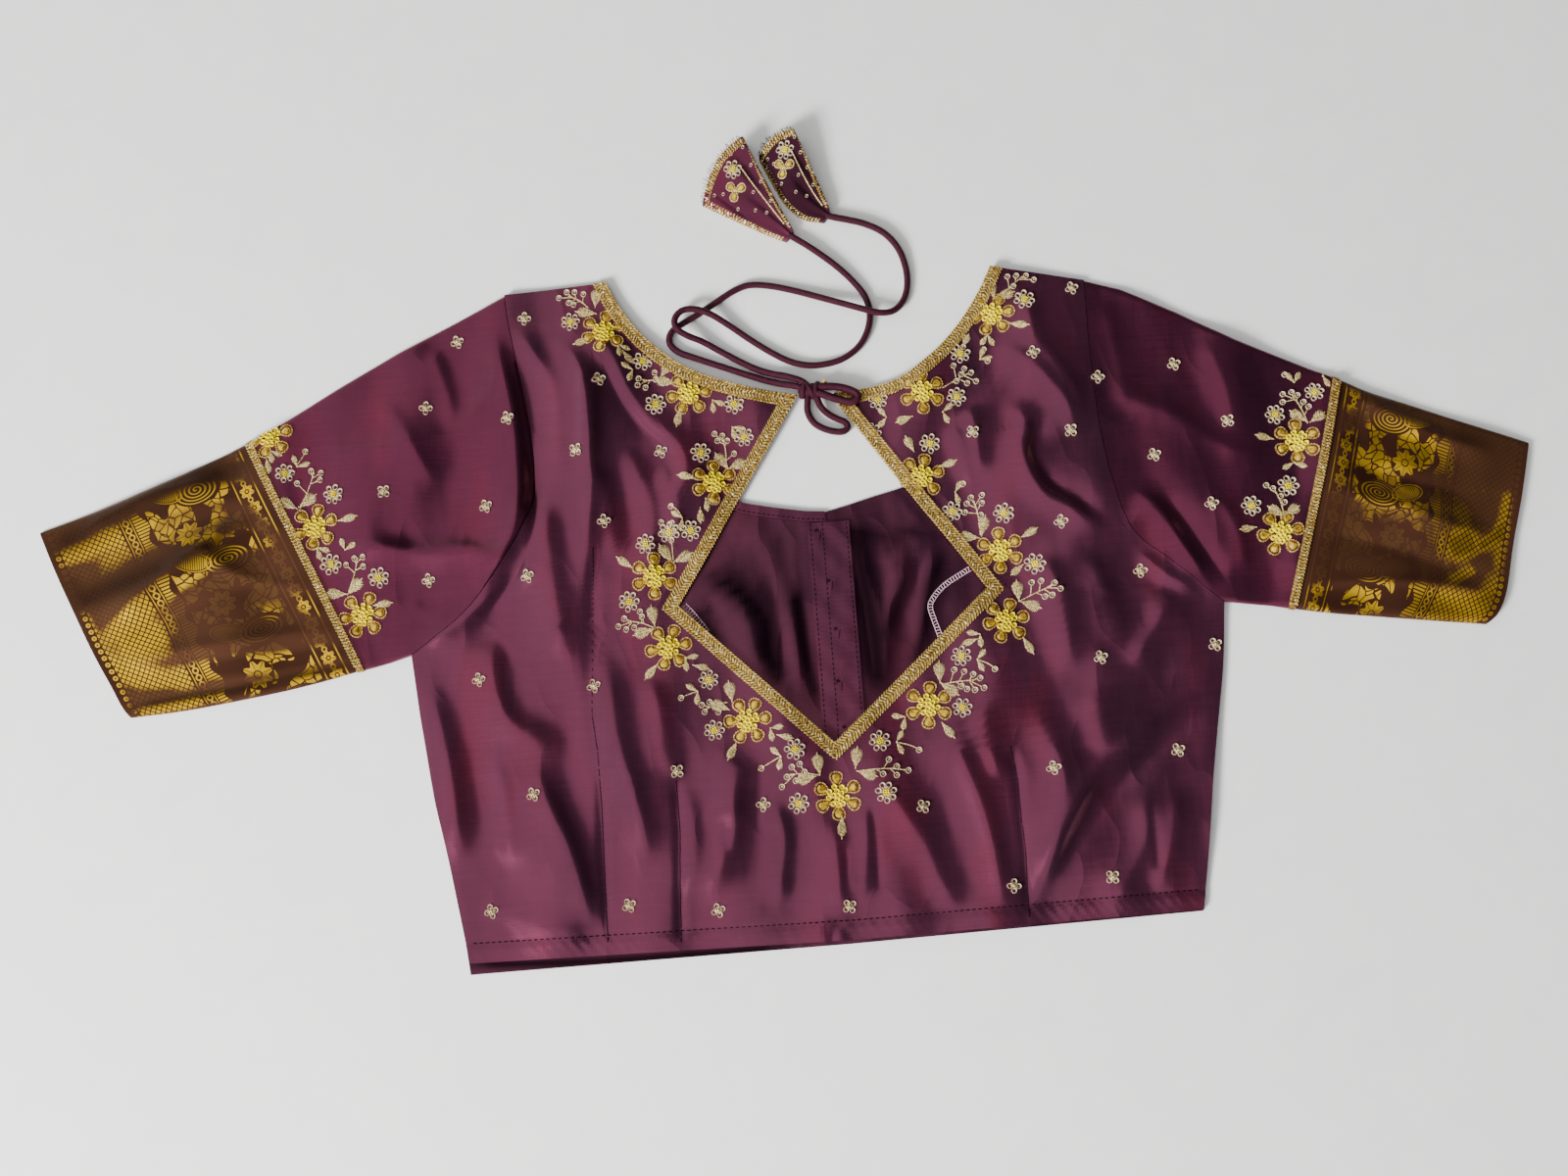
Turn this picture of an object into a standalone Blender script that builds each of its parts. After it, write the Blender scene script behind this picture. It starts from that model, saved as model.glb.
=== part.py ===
"""A silk saree blouse laid flat on its front, with its back side up.

The back is one wall with a deep neck and a kite-shaped cut-out. Below it lie the two fronts,
and at its sides the two sleeves, pressed flat, each with a brocade border. Gold lace runs
along the neck, the cut-out and the sleeve seams. Two tie cords leave a knot at the top of
the cut-out, and each ends in a folded silk hanger.

All tables are in millimetres, seen from above: x to the right, y towards the neck. Left and
right are those of this view. The origin is the middle of the garment, on the floor.
"""

import math

import bmesh
import bpy
import numpy as np
from mathutils import Vector

MM = 0.001

# Layers, from the floor up
CLOTH = 1.2
GAP = 0.3
SEAM_GAP = 0.4
LACE_THICK = 1.0
LACE_WIDE = 7.2
FRONT_TOP = CLOTH
FLAT_TOP = 2 * CLOTH + GAP
LACE_LIFT = LACE_THICK + GAP

# How finely the outlines and the walls are divided
ROW_STEPS = 2
BACK_COLUMNS = 12
FRONT_COLUMNS = 5
SLEEVE_STATIONS = 9
BORDER_STATIONS = 8
LATKAN_STATIONS = 7
LATKAN_ACROSS = 11
CURVE_STEPS = 6
SIDE_ROUND = 0.6

# The back's two halves, a row for each section from the hem up: the point on the inner edge,
# the point on the outer edge, and whether the inner or the outer edge has a corner there
BACK_ROWS = {
    "left": [
        # inner_x, inner_y, outer_x, outer_y, inner_corner, outer_corner
        (16, -192, -191, -190, 1, 1),
        (16, -160, -197, -156, 0, 0),
        (15, -125, -203, -122, 0, 0),
        (15, -84.5, -208, -98, 1, 0),
        (-26, -43, -214, -58, 0, 0),
        (-67.5, -1, -219, -19, 1, 1),
        (-48, 29, -190, 2, 0, 0),
        (-29, 60, -163, 34, 0, 0),
        (-10, 90, -148, 62, 0, 0),
        (9, 120, -146, 84, 1, 0),
        (-22, 127, -147, 104, 0, 0),
        (-55, 141, -150, 127, 0, 0),
        (-78, 161, -154, 152, 0, 0),
        (-92, 181, -158, 176, 0, 0),
        (-100, 198, -160, 194, 1, 1),
    ],
    "right": [
        (16, -192, 209, -189, 1, 1),
        (16, -160, 215, -160, 0, 0),
        (15, -125, 222, -122, 0, 0),
        (15, -84.5, 228, -95, 1, 0),
        (62, -43.5, 237, -55, 0, 0),
        (108.5, -2.5, 242, -20, 1, 1),
        (88.5, 28, 214, 6, 0, 0),
        (68, 58, 194, 26, 0, 0),
        (48, 89, 186, 55, 0, 0),
        (28, 119, 183, 80, 1, 0),
        (64, 124, 182, 100, 0, 0),
        (86, 137, 182, 120, 0, 0),
        (104, 154, 182, 140, 0, 0),
        (119, 174, 183, 160, 0, 0),
        (129, 192, 184, 180, 1, 1),
    ],
}
KITE_BOTTOM_ROW = 3
UNDERARM_ROW = 5
TIE_ROW = 9

# The inner edges of the two fronts: the opening's line, then the front neck
FRONT_INNER = {
    "left": [
        (16, -194, 1),
        (18, -155, 0),
        (19, -115, 0),
        (20, -75, 0),
        (20, -20, 0),
        (20, 49, 1),
        (8, 50, 0),
        (-8, 53, 0),
        (-26, 57, 0),
        (-42, 64, 0),
        (-58, 78, 0),
        (-70, 100, 0),
        (-82, 132, 0),
        (-92, 168, 0),
        (-100, 198, 1),
    ],
    "right": [
        (16, -194, 1),
        (18, -155, 0),
        (19, -115, 0),
        (20, -75, 0),
        (20, -20, 0),
        (20, 49, 1),
        (33, 52, 0),
        (48, 56, 0),
        (64, 60, 0),
        (80, 66, 0),
        (92, 80, 0),
        (102, 102, 0),
        (112, 132, 0),
        (121, 165, 0),
        (129, 192, 1),
    ],
}
FRONT_HEM_DROP = {"left": 8.0, "right": 0.8}

# The folds that bound each flattened sleeve: the silk's from the shoulder tip and from the
# underarm, then the border's, and the cuff's open edge
SLEEVE_TOP = {
    "left": [
        (-160, 194),
        (-190, 179),
        (-225, 162),
        (-263, 141),
        (-290, 125),
        (-313, 112),
    ],
    "right": [
        (184, 180),
        (205, 173),
        (237, 156),
        (268, 137),
        (302, 120),
        (327, 107),
    ],
}
SLEEVE_LOW = {
    "left": [(-219, -19), (-231, -22), (-240, -24), (-250, -26)],
    "right": [(242, -20), (256, -22), (269, -24), (282, -27)],
}
BORDER_TOP = {
    "left": [(-313, 112), (-340, 101), (-365, 91), (-400, 78), (-431, 68)],
    "right": [(327, 107), (345, 98), (362, 91), (397, 76), (431, 62)],
}
BORDER_LOW = {
    "left": [(-250, -26), (-280, -32), (-305, -36), (-345, -41), (-377, -43)],
    "right": [(282, -27), (305, -31), (326, -34), (360, -39), (389, -43)],
}
CUFF = {
    "left": [(-431, 68), (-417, 35), (-403, 5), (-389, -22), (-382, -36), (-377, -43)],
    "right": [(431, 62), (421, 30), (412, 4), (403, -24), (396, -37), (389, -43)],
}

# Broad rises of the cloth over the flat layers, one row for each
RISES = [
    # x, y, radius_x, radius_y, height
    (-110, -110, 80, 70, 3.2),
    (120, -115, 80, 70, 3.6),
    (15, -150, 45, 60, 2.4),
    (-40, 62, 26, 24, 2.6),
    (4, -96, 32, 26, 1.6),
    (-125, 30, 45, 70, 3.4),
    (160, 40, 45, 70, 3.4),
    (-125, 130, 35, 55, 3.0),
    (150, 120, 35, 55, 3.2),
    (-70, 125, 30, 26, 2.2),
    (92, 118, 28, 26, 2.4),
    (-235, 85, 45, 60, 5.0),
    (250, 75, 48, 60, 5.0),
    (-340, 35, 55, 50, 5.5),
    (345, 25, 55, 50, 5.5),
]

# The largest folds, one row for each: a soft ridge, or a trough where the height is negative
FOLDS = [
    # x_start, y_start, x_end, y_end, half_width, height
    (-205, -60, -185, -105, 11, 2.6),
    (-190, -50, -168, -110, 8, -2.4),
    (-163, -15, -138, -80, 10, 2.6),
    (-150, 0, -122, -92, 8, -2.6),
    (-140, -100, -112, -178, 9, 2.8),
    (-128, -95, -100, -150, 8, -2.0),
    (-186, -150, -135, -176, 9, 2.4),
    (-114, 90, -118, -60, 8, 2.6),
    (-100, 70, -106, -60, 8, -2.4),
    (-92, -30, -84, -110, 9, 2.4),
    (-75, -93, -77, -186, 7, 2.2),
    (-62, -100, -64, -180, 7, -1.8),
    (-40, -90, -56, -150, 9, 2.2),
    (48, -110, 30, -180, 9, 2.2),
    (114, -92, 113, -186, 8, 2.4),
    (126, -100, 126, -180, 8, -2.0),
    (236, -62, 190, -98, 10, 3.0),
    (228, -48, 182, -84, 8, -2.4),
    (190, -98, 172, -124, 9, 2.6),
    (172, -124, 138, -185, 10, 3.0),
    (158, -112, 128, -160, 8, -2.4),
    (200, -120, 176, -180, 9, 2.2),
    (130, -20, 160, -80, 9, 2.4),
    (126, 106, 140, 76, 9, -2.6),
    (140, 76, 176, 30, 10, -2.8),
    (136, 96, 160, 60, 9, 2.8),
    (158, 60, 184, 20, 9, 2.6),
    (-88, 125, -62, 85, 10, -2.8),
    (-100, 112, -74, 70, 9, 2.8),
    (-136, 100, -128, 20, 9, 2.6),
    (-150, 60, -150, 10, 8, 2.2),
    (-176, 22, -205, -14, 8, 2.4),
    (-196, 150, -214, 40, 10, 2.6),
    (-178, 150, -190, 50, 9, -2.4),
    (-250, 120, -232, 20, 12, 2.4),
    (-275, 100, -240, 0, 9, -2.0),
    (206, 140, 216, 40, 10, 2.8),
    (196, 120, 200, 50, 8, -2.4),
    (250, 130, 246, 30, 11, 2.4),
    (285, 105, 262, 5, 10, -2.0),
    (-390, 62, -300, 92, 9, 2.4),
    (-405, 40, -320, 66, 9, -2.2),
    (-398, 26, -300, 46, 10, 2.6),
    (-392, 8, -300, 20, 9, -2.2),
    (-384, -8, -290, 2, 9, 2.4),
    (-372, -24, -280, -14, 8, -2.0),
    (405, 56, 330, 86, 9, 2.6),
    (408, 40, 330, 62, 9, -2.2),
    (404, 22, 320, 40, 10, 2.6),
    (400, 4, 310, 18, 9, -2.2),
    (396, -12, 300, -2, 9, 2.6),
    (388, -28, 300, -18, 8, -2.0),
    (4, -235, 12, -66, 38, 2.8),
]
FOLD_TAPER = 26.0

# The routes of the two tie cords, from the knot to the hanger: x, y, height of the middle
CORD_THICK = 4.0
CORD_REST = CORD_THICK / 2 + 0.1
CORD_POINT_GAP = 7.5
CORD_ROUTES = {
    # The right-hand hanger's cord lies under the other at its left turn
    "cord_right": [
        (8.0, 125.2, 4.2),
        (0, 127.6, 2.8),
        (-9, 130.6, CORD_REST),
        (-21, 135.4, CORD_REST),
        (-36, 141.6, CORD_REST),
        (-50, 147.6, CORD_REST),
        (-59, 151.8, CORD_REST),
        (-64, 157.6, CORD_REST),
        (-62.5, 164.6, CORD_REST),
        (-55.5, 169.4, CORD_REST),
        (-46, 174.6, CORD_REST),
        (-34, 182, CORD_REST),
        (-25, 187.4, CORD_REST),
        (-15, 190.8, CORD_REST),
        (-3, 189.6, CORD_REST),
        (11, 185.6, 2.4),
        (26, 179.8, 3.6),
        (40, 173.8, 5.8),
        (50, 169.6, 7.1),
        (60, 166.4, 6.8),
        (69, 167.6, 4.8),
        (75.5, 174, 3.0),
        (79, 184, CORD_REST),
        (79, 196, 2.2),
        (75.5, 208, 2.8),
        (68, 218, 3.2),
        (57.5, 224.4, 3.4),
        (47, 227.8, 3.7),
        (39.5, 229.8, 3.7),
        (34.4, 231.6, 3.7),
    ],
    "cord_left": [
        (11.7, 128.6, 5.4),
        (3.4, 131.6, 4.0),
        (-6, 134.6, 2.6),
        (-16, 139, CORD_REST),
        (-27, 145.6, CORD_REST),
        (-36, 151.4, 2.4),
        (-45, 156.8, 4.0),
        (-53, 160, 6.2),
        (-59, 164.4, 7.0),
        (-60, 170.6, 7.0),
        (-55.4, 175.6, 7.0),
        (-47.5, 176, 6.9),
        (-38.5, 172.6, 5.6),
        (-28, 165.6, 3.4),
        (-17, 157, CORD_REST),
        (-5, 148, CORD_REST),
        (6, 141.4, CORD_REST),
        (17, 138.2, CORD_REST),
        (28, 138.4, CORD_REST),
        (38, 141.2, CORD_REST),
        (47, 147.6, CORD_REST),
        (53, 157, CORD_REST),
        (55.4, 168, CORD_REST),
        (53.4, 179, CORD_REST),
        (47, 189, 2.2),
        (39, 198, 2.6),
        (30.6, 205.6, 3.1),
        (22.2, 212.4, 3.7),
        (15.2, 217.6, 3.7),
        (11.2, 220.5, 3.7),
    ],
}

# The bow beside the knot: two short loops of the same cord
BOW_ROUTES = {
    "bow_loop_high": [
        (24.9, 123.6, 6.7),
        (31, 123.6, 6.7),
        (38, 121.6, 6.6),
        (43.6, 117.6, 6.6),
        (43.8, 113.2, 6.6),
        (38.4, 111.4, 6.6),
        (31.4, 113.4, 6.6),
        (23.6, 117.6, 6.6),
    ],
    "bow_loop_low": [
        (14.5, 115.6, 4.0),
        (14.2, 109.4, 2.9),
        (16.8, 103.4, 2.2),
        (21.6, 99.4, CORD_REST),
        (28, 96.8, CORD_REST),
        (33.8, 96.2, CORD_REST),
        (37.0, 98.4, CORD_REST),
        (35.6, 101.8, CORD_REST),
        (30.6, 104.4, 2.2),
        (25.6, 107.6, 3.0),
        (22, 111.6, 4.2),
        (20.5, 115.6, 4.6),
    ],
}
KNOT = {"centre": (16.5, 121.8, 4.9), "radii": (7.9, 5.6, 4.3)}

# The hangers: the high and the low fold from the tip to the open end, with the dome's height
LATKANS = {
    "latkan_left": [
        # high_x, high_y, low_x, low_y, dome
        (14.1, 222.8, 9.5, 217.2, 7.4),
        (8.6, 234, 0.0, 221.8, 11.0),
        (2.4, 247, -13.0, 229.0, 14.0),
        (-4.0, 263, -27.0, 237.6, 17.0),
        (-10.0, 280, -38.0, 246.4, 19.0),
    ],
    "latkan_right": [
        (36.7, 234.5, 32.9, 228.1, 7.4),
        (34.4, 245, 19.6, 232.4, 11.0),
        (29.6, 258, 11.4, 243.4, 14.0),
        (24.6, 270, 5.0, 257.6, 16.0),
        (20.0, 281, -1.4, 272.4, 18.0),
    ],
}
LATKAN_FULLNESS = 0.6
LATKAN_LIFT = 0.1
LATKAN_BULGE = {"latkan_left": 6.0, "latkan_right": 4.0}

# The finishes: colour, roughness and metallic value
FINISHES = {
    "silk": ((0.16, 0.035, 0.075), 0.38, 0.0),
    "brocade": ((0.22, 0.12, 0.05), 0.45, 0.4),
    "lace": ((0.72, 0.52, 0.22), 0.35, 0.8),
    "lining": ((0.13, 0.035, 0.06), 0.6, 0.0),
    "cord": ((0.13, 0.02, 0.05), 0.4, 0.0),
}


def curve_points(points, corners, steps):
    """Points along a smooth curve through the given ones, which breaks at each corner."""
    points = [np.array(point, float) for point in points]
    last = len(points) - 1
    found = []
    for index in range(last):
        here = points[index]
        there = points[index + 1]
        before = here if corners[index] or index == 0 else points[index - 1]
        after = there if corners[index + 1] or index + 1 == last else points[index + 2]
        slope_in = (there - before) / (1 if before is here else 2)
        slope_out = (after - here) / (1 if after is there else 2)
        for step in range(steps):
            t = step / steps
            found.append(
                (2 * t**3 - 3 * t**2 + 1) * here
                + (t**3 - 2 * t**2 + t) * slope_in
                + (3 * t**2 - 2 * t**3) * there
                + (t**3 - t**2) * slope_out
            )
    found.append(points[last])
    return found


def smooth(points):
    """Points along a smooth curve with no corners."""
    return curve_points(points, [0] * len(points), CURVE_STEPS)


def along(points, fractions):
    """Points at the given fractions of a polyline's length."""
    points = np.array(points, float)
    reach = np.concatenate([[0], np.cumsum(np.linalg.norm(np.diff(points, axis=0), axis=1))])
    wanted = np.array(fractions) * reach[-1]
    return np.array([np.interp(wanted, reach, points[:, axis]) for axis in range(points.shape[1])]).T


def offset_inwards(points, distance, side):
    """The line at a distance from a polyline, mitred at its corners; side is +1 for its left."""
    moved = []
    for index, point in enumerate(points):
        before = points[max(index - 1, 0)]
        after = points[min(index + 1, len(points) - 1)]
        run_in = point - before if index else after - point
        run_out = after - point if index + 1 < len(points) else run_in
        run_in = run_in / np.linalg.norm(run_in)
        run_out = run_out / np.linalg.norm(run_out)
        normal_in = side * np.array([-run_in[1], run_in[0]])
        normal_out = side * np.array([-run_out[1], run_out[0]])
        mitre = normal_in + normal_out
        moved.append(point + mitre * 2 * distance / mitre.dot(mitre))
    return moved


def cloth_top(x, y):
    """The height of the garment's upper surface over the floor, in millimetres."""
    rise = 0.0
    for mid_x, mid_y, radius_x, radius_y, height in RISES:
        rise += height * math.exp(-(((x - mid_x) / radius_x) ** 2) - ((y - mid_y) / radius_y) ** 2)
    for x0, y0, x1, y1, half_width, height in FOLDS:
        length = math.hypot(x1 - x0, y1 - y0)
        run = ((x - x0) * (x1 - x0) + (y - y0) * (y1 - y0)) / length
        aside = abs((x - x0) * (y1 - y0) - (y - y0) * (x1 - x0)) / length
        past = max(-run, run - length, -FOLD_TAPER)
        if aside < half_width and past < 0:
            taper = math.sin(math.pi / 2 * min(1.0, -past / min(FOLD_TAPER, length / 2))) ** 2
            rise += height * taper * math.cos(math.pi / 2 * aside / half_width) ** 2
    return FLAT_TOP + max(0.0, rise)


def new_object(name, mesh_or_curve, finish):
    material = bpy.data.materials.new(name)
    material.use_nodes = True
    colour, roughness, metallic = FINISHES[finish]
    shader = material.node_tree.nodes["Principled BSDF"]
    shader.inputs["Base Color"].default_value = (*colour, 1)
    shader.inputs["Roughness"].default_value = roughness
    shader.inputs["Metallic"].default_value = metallic
    mesh_or_curve.materials.append(material)
    piece = bpy.data.objects.new(name, mesh_or_curve)
    garment.objects.link(piece)
    return piece


def wall(name, points, faces, thickness, finish):
    """A closed wall: an open surface of points, pushed through its thickness up or down."""
    mesh = bpy.data.meshes.new(name)
    shape = bmesh.new()
    corners = [shape.verts.new(Vector(point) * MM) for point in points]
    for face in faces:
        shape.faces.new([corners[index] for index in face])
    bmesh.ops.recalc_face_normals(shape, faces=shape.faces)
    pushed = bmesh.ops.extrude_face_region(shape, geom=shape.faces[:], use_keep_orig=True)
    for item in pushed["geom"]:
        if isinstance(item, bmesh.types.BMVert):
            item.co.z += thickness * MM
    bmesh.ops.triangulate(shape, faces=shape.faces[:])
    bmesh.ops.recalc_face_normals(shape, faces=shape.faces)
    shape.to_mesh(mesh)
    shape.free()
    mesh.shade_smooth()
    mesh.set_sharp_from_angle(angle=math.radians(50))
    return new_object(name, mesh, finish)


def tube(name, outer_rings, inner_rings, finish):
    """A closed wall between two tubes, each a list of rings with the same number of points."""
    mesh = bpy.data.meshes.new(name)
    shape = bmesh.new()
    skins = [
        [[shape.verts.new(Vector(point) * MM) for point in ring] for ring in rings]
        for rings in (outer_rings, inner_rings)
    ]
    count = len(outer_rings[0])
    for skin in skins:
        for here, there in zip(skin, skin[1:]):
            for index in range(count):
                after = (index + 1) % count
                shape.faces.new([here[index], here[after], there[after], there[index]])
    for end in (0, -1):
        outer, inner = skins[0][end], skins[1][end]
        for index in range(count):
            after = (index + 1) % count
            shape.faces.new([outer[index], outer[after], inner[after], inner[index]])
    bmesh.ops.triangulate(shape, faces=shape.faces[:])
    bmesh.ops.recalc_face_normals(shape, faces=shape.faces)
    shape.to_mesh(mesh)
    shape.free()
    mesh.shade_smooth()
    mesh.set_sharp_from_angle(angle=math.radians(50))
    return new_object(name, mesh, finish)


def back_edges(side):
    """The back's inner edge, the line one lace width inside it, and its outer edge, row by row."""
    rows = BACK_ROWS[side]
    inner = curve_points([row[:2] for row in rows], [row[4] for row in rows], ROW_STEPS)
    outer = curve_points([row[2:4] for row in rows], [row[5] for row in rows], ROW_STEPS)
    bottom = KITE_BOTTOM_ROW * ROW_STEPS
    turn = 1 if side == "left" else -1
    banded = offset_inwards(inner[bottom:], LACE_WIDE, turn)
    slopes = []
    for half in ("left", "right"):
        next_row = BACK_ROWS[half][KITE_BOTTOM_ROW + 1]
        slopes.append(math.atan2(next_row[1] - inner[bottom][1], next_row[0] - inner[bottom][0]))
    banded[0] = inner[bottom] - np.array([0, LACE_WIDE / math.sin((slopes[0] - slopes[1]) / 2)])
    shoulder = outer[-1] - inner[-1]
    banded[-1] = inner[-1] + shoulder * LACE_WIDE / np.linalg.norm(shoulder)
    centre = along([inner[0], banded[0]], np.linspace(0, 1, bottom + 1))
    return inner[bottom:], list(centre[:-1]) + banded, outer


def make_back():
    """The back: a grid between the centre line and the sides, and a band as wide as the lace."""
    points, faces, found = [], [], {}

    def corner(x, y):
        key = (round(x, 4), round(y, 4))
        if key not in found:
            found[key] = len(points)
            points.append((x, y, cloth_top(x, y) - CLOTH))
        return found[key]

    bottom = KITE_BOTTOM_ROW * ROW_STEPS
    for side in ("left", "right"):
        edge, start, outer = back_edges(side)
        grid = [
            [corner(*(a + (b - a) * column / BACK_COLUMNS)) for column in range(BACK_COLUMNS + 1)]
            for a, b in zip(start, outer)
        ]
        for index, lip in enumerate(edge):
            grid[bottom + index].insert(0, corner(*lip))
        for row, (here, there) in enumerate(zip(grid, grid[1:])):
            shift = 1 if row == bottom - 1 else 0
            for column in range(len(here) - 1):
                above = column + shift
                faces.append([here[column], here[column + 1], there[above + 1], there[above]])
    return wall("back", points, faces, CLOTH, "silk")


def lace_strip(name, edge_pairs):
    """A strip of lace on the back: pairs of points across it, lifted off the cloth."""
    points = [(*spot, cloth_top(*spot) + GAP) for pair in edge_pairs for spot in pair]
    faces = [(2 * i, 2 * i + 1, 2 * i + 3, 2 * i + 2) for i in range(len(edge_pairs) - 1)]
    return wall(name, points, faces, LACE_THICK, "lace")


def make_back_laces():
    tie = (TIE_ROW - KITE_BOTTOM_ROW) * ROW_STEPS
    bottom = KITE_BOTTOM_ROW * ROW_STEPS
    kite = []
    for side in ("left", "right"):
        edge, start, _ = back_edges(side)
        pairs = list(zip(edge, start[bottom:]))
        kite = pairs[1 : tie + 1][::-1] + kite if side == "left" else kite + pairs[: tie + 1]
        neck = pairs[tie:]
        run = np.linalg.norm(neck[1][0] - neck[0][0])
        mitred = [here + (there - here) * 2 * SEAM_GAP / run for here, there in zip(neck[0], neck[1])]
        lace_strip("lace_neck_" + side, [tuple(mitred)] + neck[1:])
    lace_strip("lace_kite", kite)


def make_front(side):
    """One front: a flat wall on the floor, from the opening's line to the side and the armhole."""
    rows = FRONT_INNER[side]
    inner = curve_points([row[:2] for row in rows], [row[2] for row in rows], 1)
    outer = back_edges(side)[2][::ROW_STEPS]
    outer[0] = outer[0] - np.array([0, FRONT_HEM_DROP[side]])
    away = -1 if side == "left" else 1
    shift = np.array([away * SEAM_GAP / 2, 0])
    points, faces = [], []
    for a, b in zip(inner, outer):
        for column in range(FRONT_COLUMNS + 1):
            spot = a + shift + (b - a - shift) * column / FRONT_COLUMNS
            points.append((*spot, 0.0))
    wide = FRONT_COLUMNS + 1
    for row in range(len(inner) - 1):
        for column in range(FRONT_COLUMNS):
            at = row * wide + column
            faces.append((at, at + 1, at + wide + 1, at + wide))
    return wall("front_" + side, points, faces, CLOTH, "lining")


def front_strip(name, edges, height, thickness, finish):
    """A narrow flat strip on the fronts, from pairs of points across it."""
    points = [(*spot, height) for pair in edges for spot in pair]
    faces = [(2 * i, 2 * i + 1, 2 * i + 3, 2 * i + 2) for i in range(len(edges) - 1)]
    return wall(name, points, faces, thickness, finish)


PLACKET_WIDE = 24.0
PLACKET_OVERLAP = 13.0
BINDING_WIDE = 6.0
BINDING_FROM_ROW = 6
BINDING_TO_ROW = 9


def make_front_trim():
    """The hook placket, which laps over the right front, and the binding of the left front's neck."""
    rows = FRONT_INNER["left"]
    line = [np.array(row[:2], float) for row in rows[:BINDING_FROM_ROW]]
    line[0][1] += 2.0
    line[-1][1] -= BINDING_WIDE + SEAM_GAP
    overlap = np.array([PLACKET_OVERLAP, 0])
    across = np.array([PLACKET_WIDE, 0])
    front_strip(
        "placket",
        [(spot + overlap - across, spot + overlap) for spot in line],
        FRONT_TOP + GAP,
        CLOTH,
        "lining",
    )
    neck = [np.array(row[:2], float) for row in rows[BINDING_FROM_ROW - 1 : BINDING_TO_ROW + 1]]
    neck[0][0] -= SEAM_GAP
    below = offset_inwards(neck, BINDING_WIDE, 1)
    below[0][0] = neck[0][0]
    front_strip("binding_front", list(zip(neck, below)), FRONT_TOP + GAP, CLOTH, "silk")


def surface_between(top, low, start, end, stations):
    """Rows of plan points between four edge curves, a row for each station along a sleeve."""
    across = len(start)
    top = along(top, stations)
    low = along(low, stations)
    rows = []
    for s, high_point, low_point in zip(stations, top, low):
        row = []
        for index in range(across):
            t = index / (across - 1)
            ruled = (1 - t) * high_point + t * low_point + (1 - s) * start[index] + s * end[index]
            corners = (1 - s) * ((1 - t) * start[0] + t * start[-1]) + s * ((1 - t) * end[0] + t * end[-1])
            row.append(ruled - corners)
        rows.append(row)
    return rows


def flat_ring(row, lift, grow, top_height):
    """One ring of a flattened tube over a row of plan points, grown by grow on every side."""
    first, last = row[0], row[-1]
    wide = np.linalg.norm(first - last)
    outward = (first - last) / wide
    middle = (first + last) / 2
    spots = [middle + (spot - middle) * (1 + 2 * grow / wide) for spot in row]
    round_in = SIDE_ROUND * outward
    half_way = lift + FLAT_TOP / 2
    upper = [
        (*spot, lift + top_height(*below) + grow) for spot, below in zip(spots[1:-1], row[1:-1])
    ]
    lower = [(*spot, lift - grow) for spot in spots[2:-2:2]]
    edge_top = lift + FLAT_TOP + grow
    edge_low = lift - grow
    return (
        [(*spots[0], half_way), (*(spots[0] - round_in), edge_top)]
        + upper
        + [(*(spots[-1] + round_in), edge_top), (*spots[-1], half_way)]
        + [(*(spots[-1] + round_in), edge_low)]
        + lower[::-1]
        + [(*(spots[0] - round_in), edge_low)]
    )


def tube_between(name, rows, lifts, low_grow, high_grow, finish):
    outer = [flat_ring(row, lift, high_grow, cloth_top) for row, lift in zip(rows, lifts)]
    inner = [flat_ring(row, lift, low_grow, cloth_top) for row, lift in zip(rows, lifts)]
    return tube(name, outer, inner, finish)


def make_sleeve(side):
    """A sleeve, its border and the lace over their seam."""
    outward = -1 if side == "left" else 1
    armhole = back_edges(side)[2][UNDERARM_ROW * ROW_STEPS :][::-1]
    armhole = offset_inwards(armhole, SEAM_GAP, outward)
    even = np.linspace(0, 1, len(armhole))
    seam = along([SLEEVE_TOP[side][-1], SLEEVE_LOW[side][-1]], even)
    cuff = along(smooth(CUFF[side]), even)
    top = [armhole[0]] + [np.array(spot, float) for spot in SLEEVE_TOP[side][1:]]
    low = [armhole[-1]] + [np.array(spot, float) for spot in SLEEVE_LOW[side][1:]]
    reach = np.linalg.norm(np.diff(np.array(top), axis=0), axis=1).sum()
    lace_share = LACE_WIDE / reach
    seam_share = SEAM_GAP / 2 / reach
    stations = list(np.linspace(0, 1 - lace_share - seam_share, SLEEVE_STATIONS)) + [1 - seam_share]
    rows = surface_between(top, low, armhole, seam, stations)
    lifts = [0.0] * (SLEEVE_STATIONS - 1) + [LACE_LIFT] * 2
    tube_between("sleeve_" + side, rows, lifts, -CLOTH, 0.0, "silk")
    tube_between("lace_sleeve_" + side, rows[-2:], lifts[-2:], GAP, LACE_LIFT, "lace")
    start_share = SEAM_GAP / np.linalg.norm(seam[0] - cuff[0])
    stations = np.linspace(start_share, 1, BORDER_STATIONS)
    rows = surface_between(smooth(BORDER_TOP[side]), smooth(BORDER_LOW[side]), seam, cuff, stations)
    lifts = [LACE_LIFT] + [0.0] * (BORDER_STATIONS - 1)
    tube_between("border_" + side, rows, lifts, -CLOTH, 0.0, "brocade")


def smooth_route(route, closeness):
    """Points at even gaps along a smooth curve through a route's own points."""
    fine = np.array(smooth(route))
    length = np.linalg.norm(np.diff(fine, axis=0), axis=1).sum()
    return along(fine, np.linspace(0, 1, max(4, round(length / closeness)) + 1))


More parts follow.
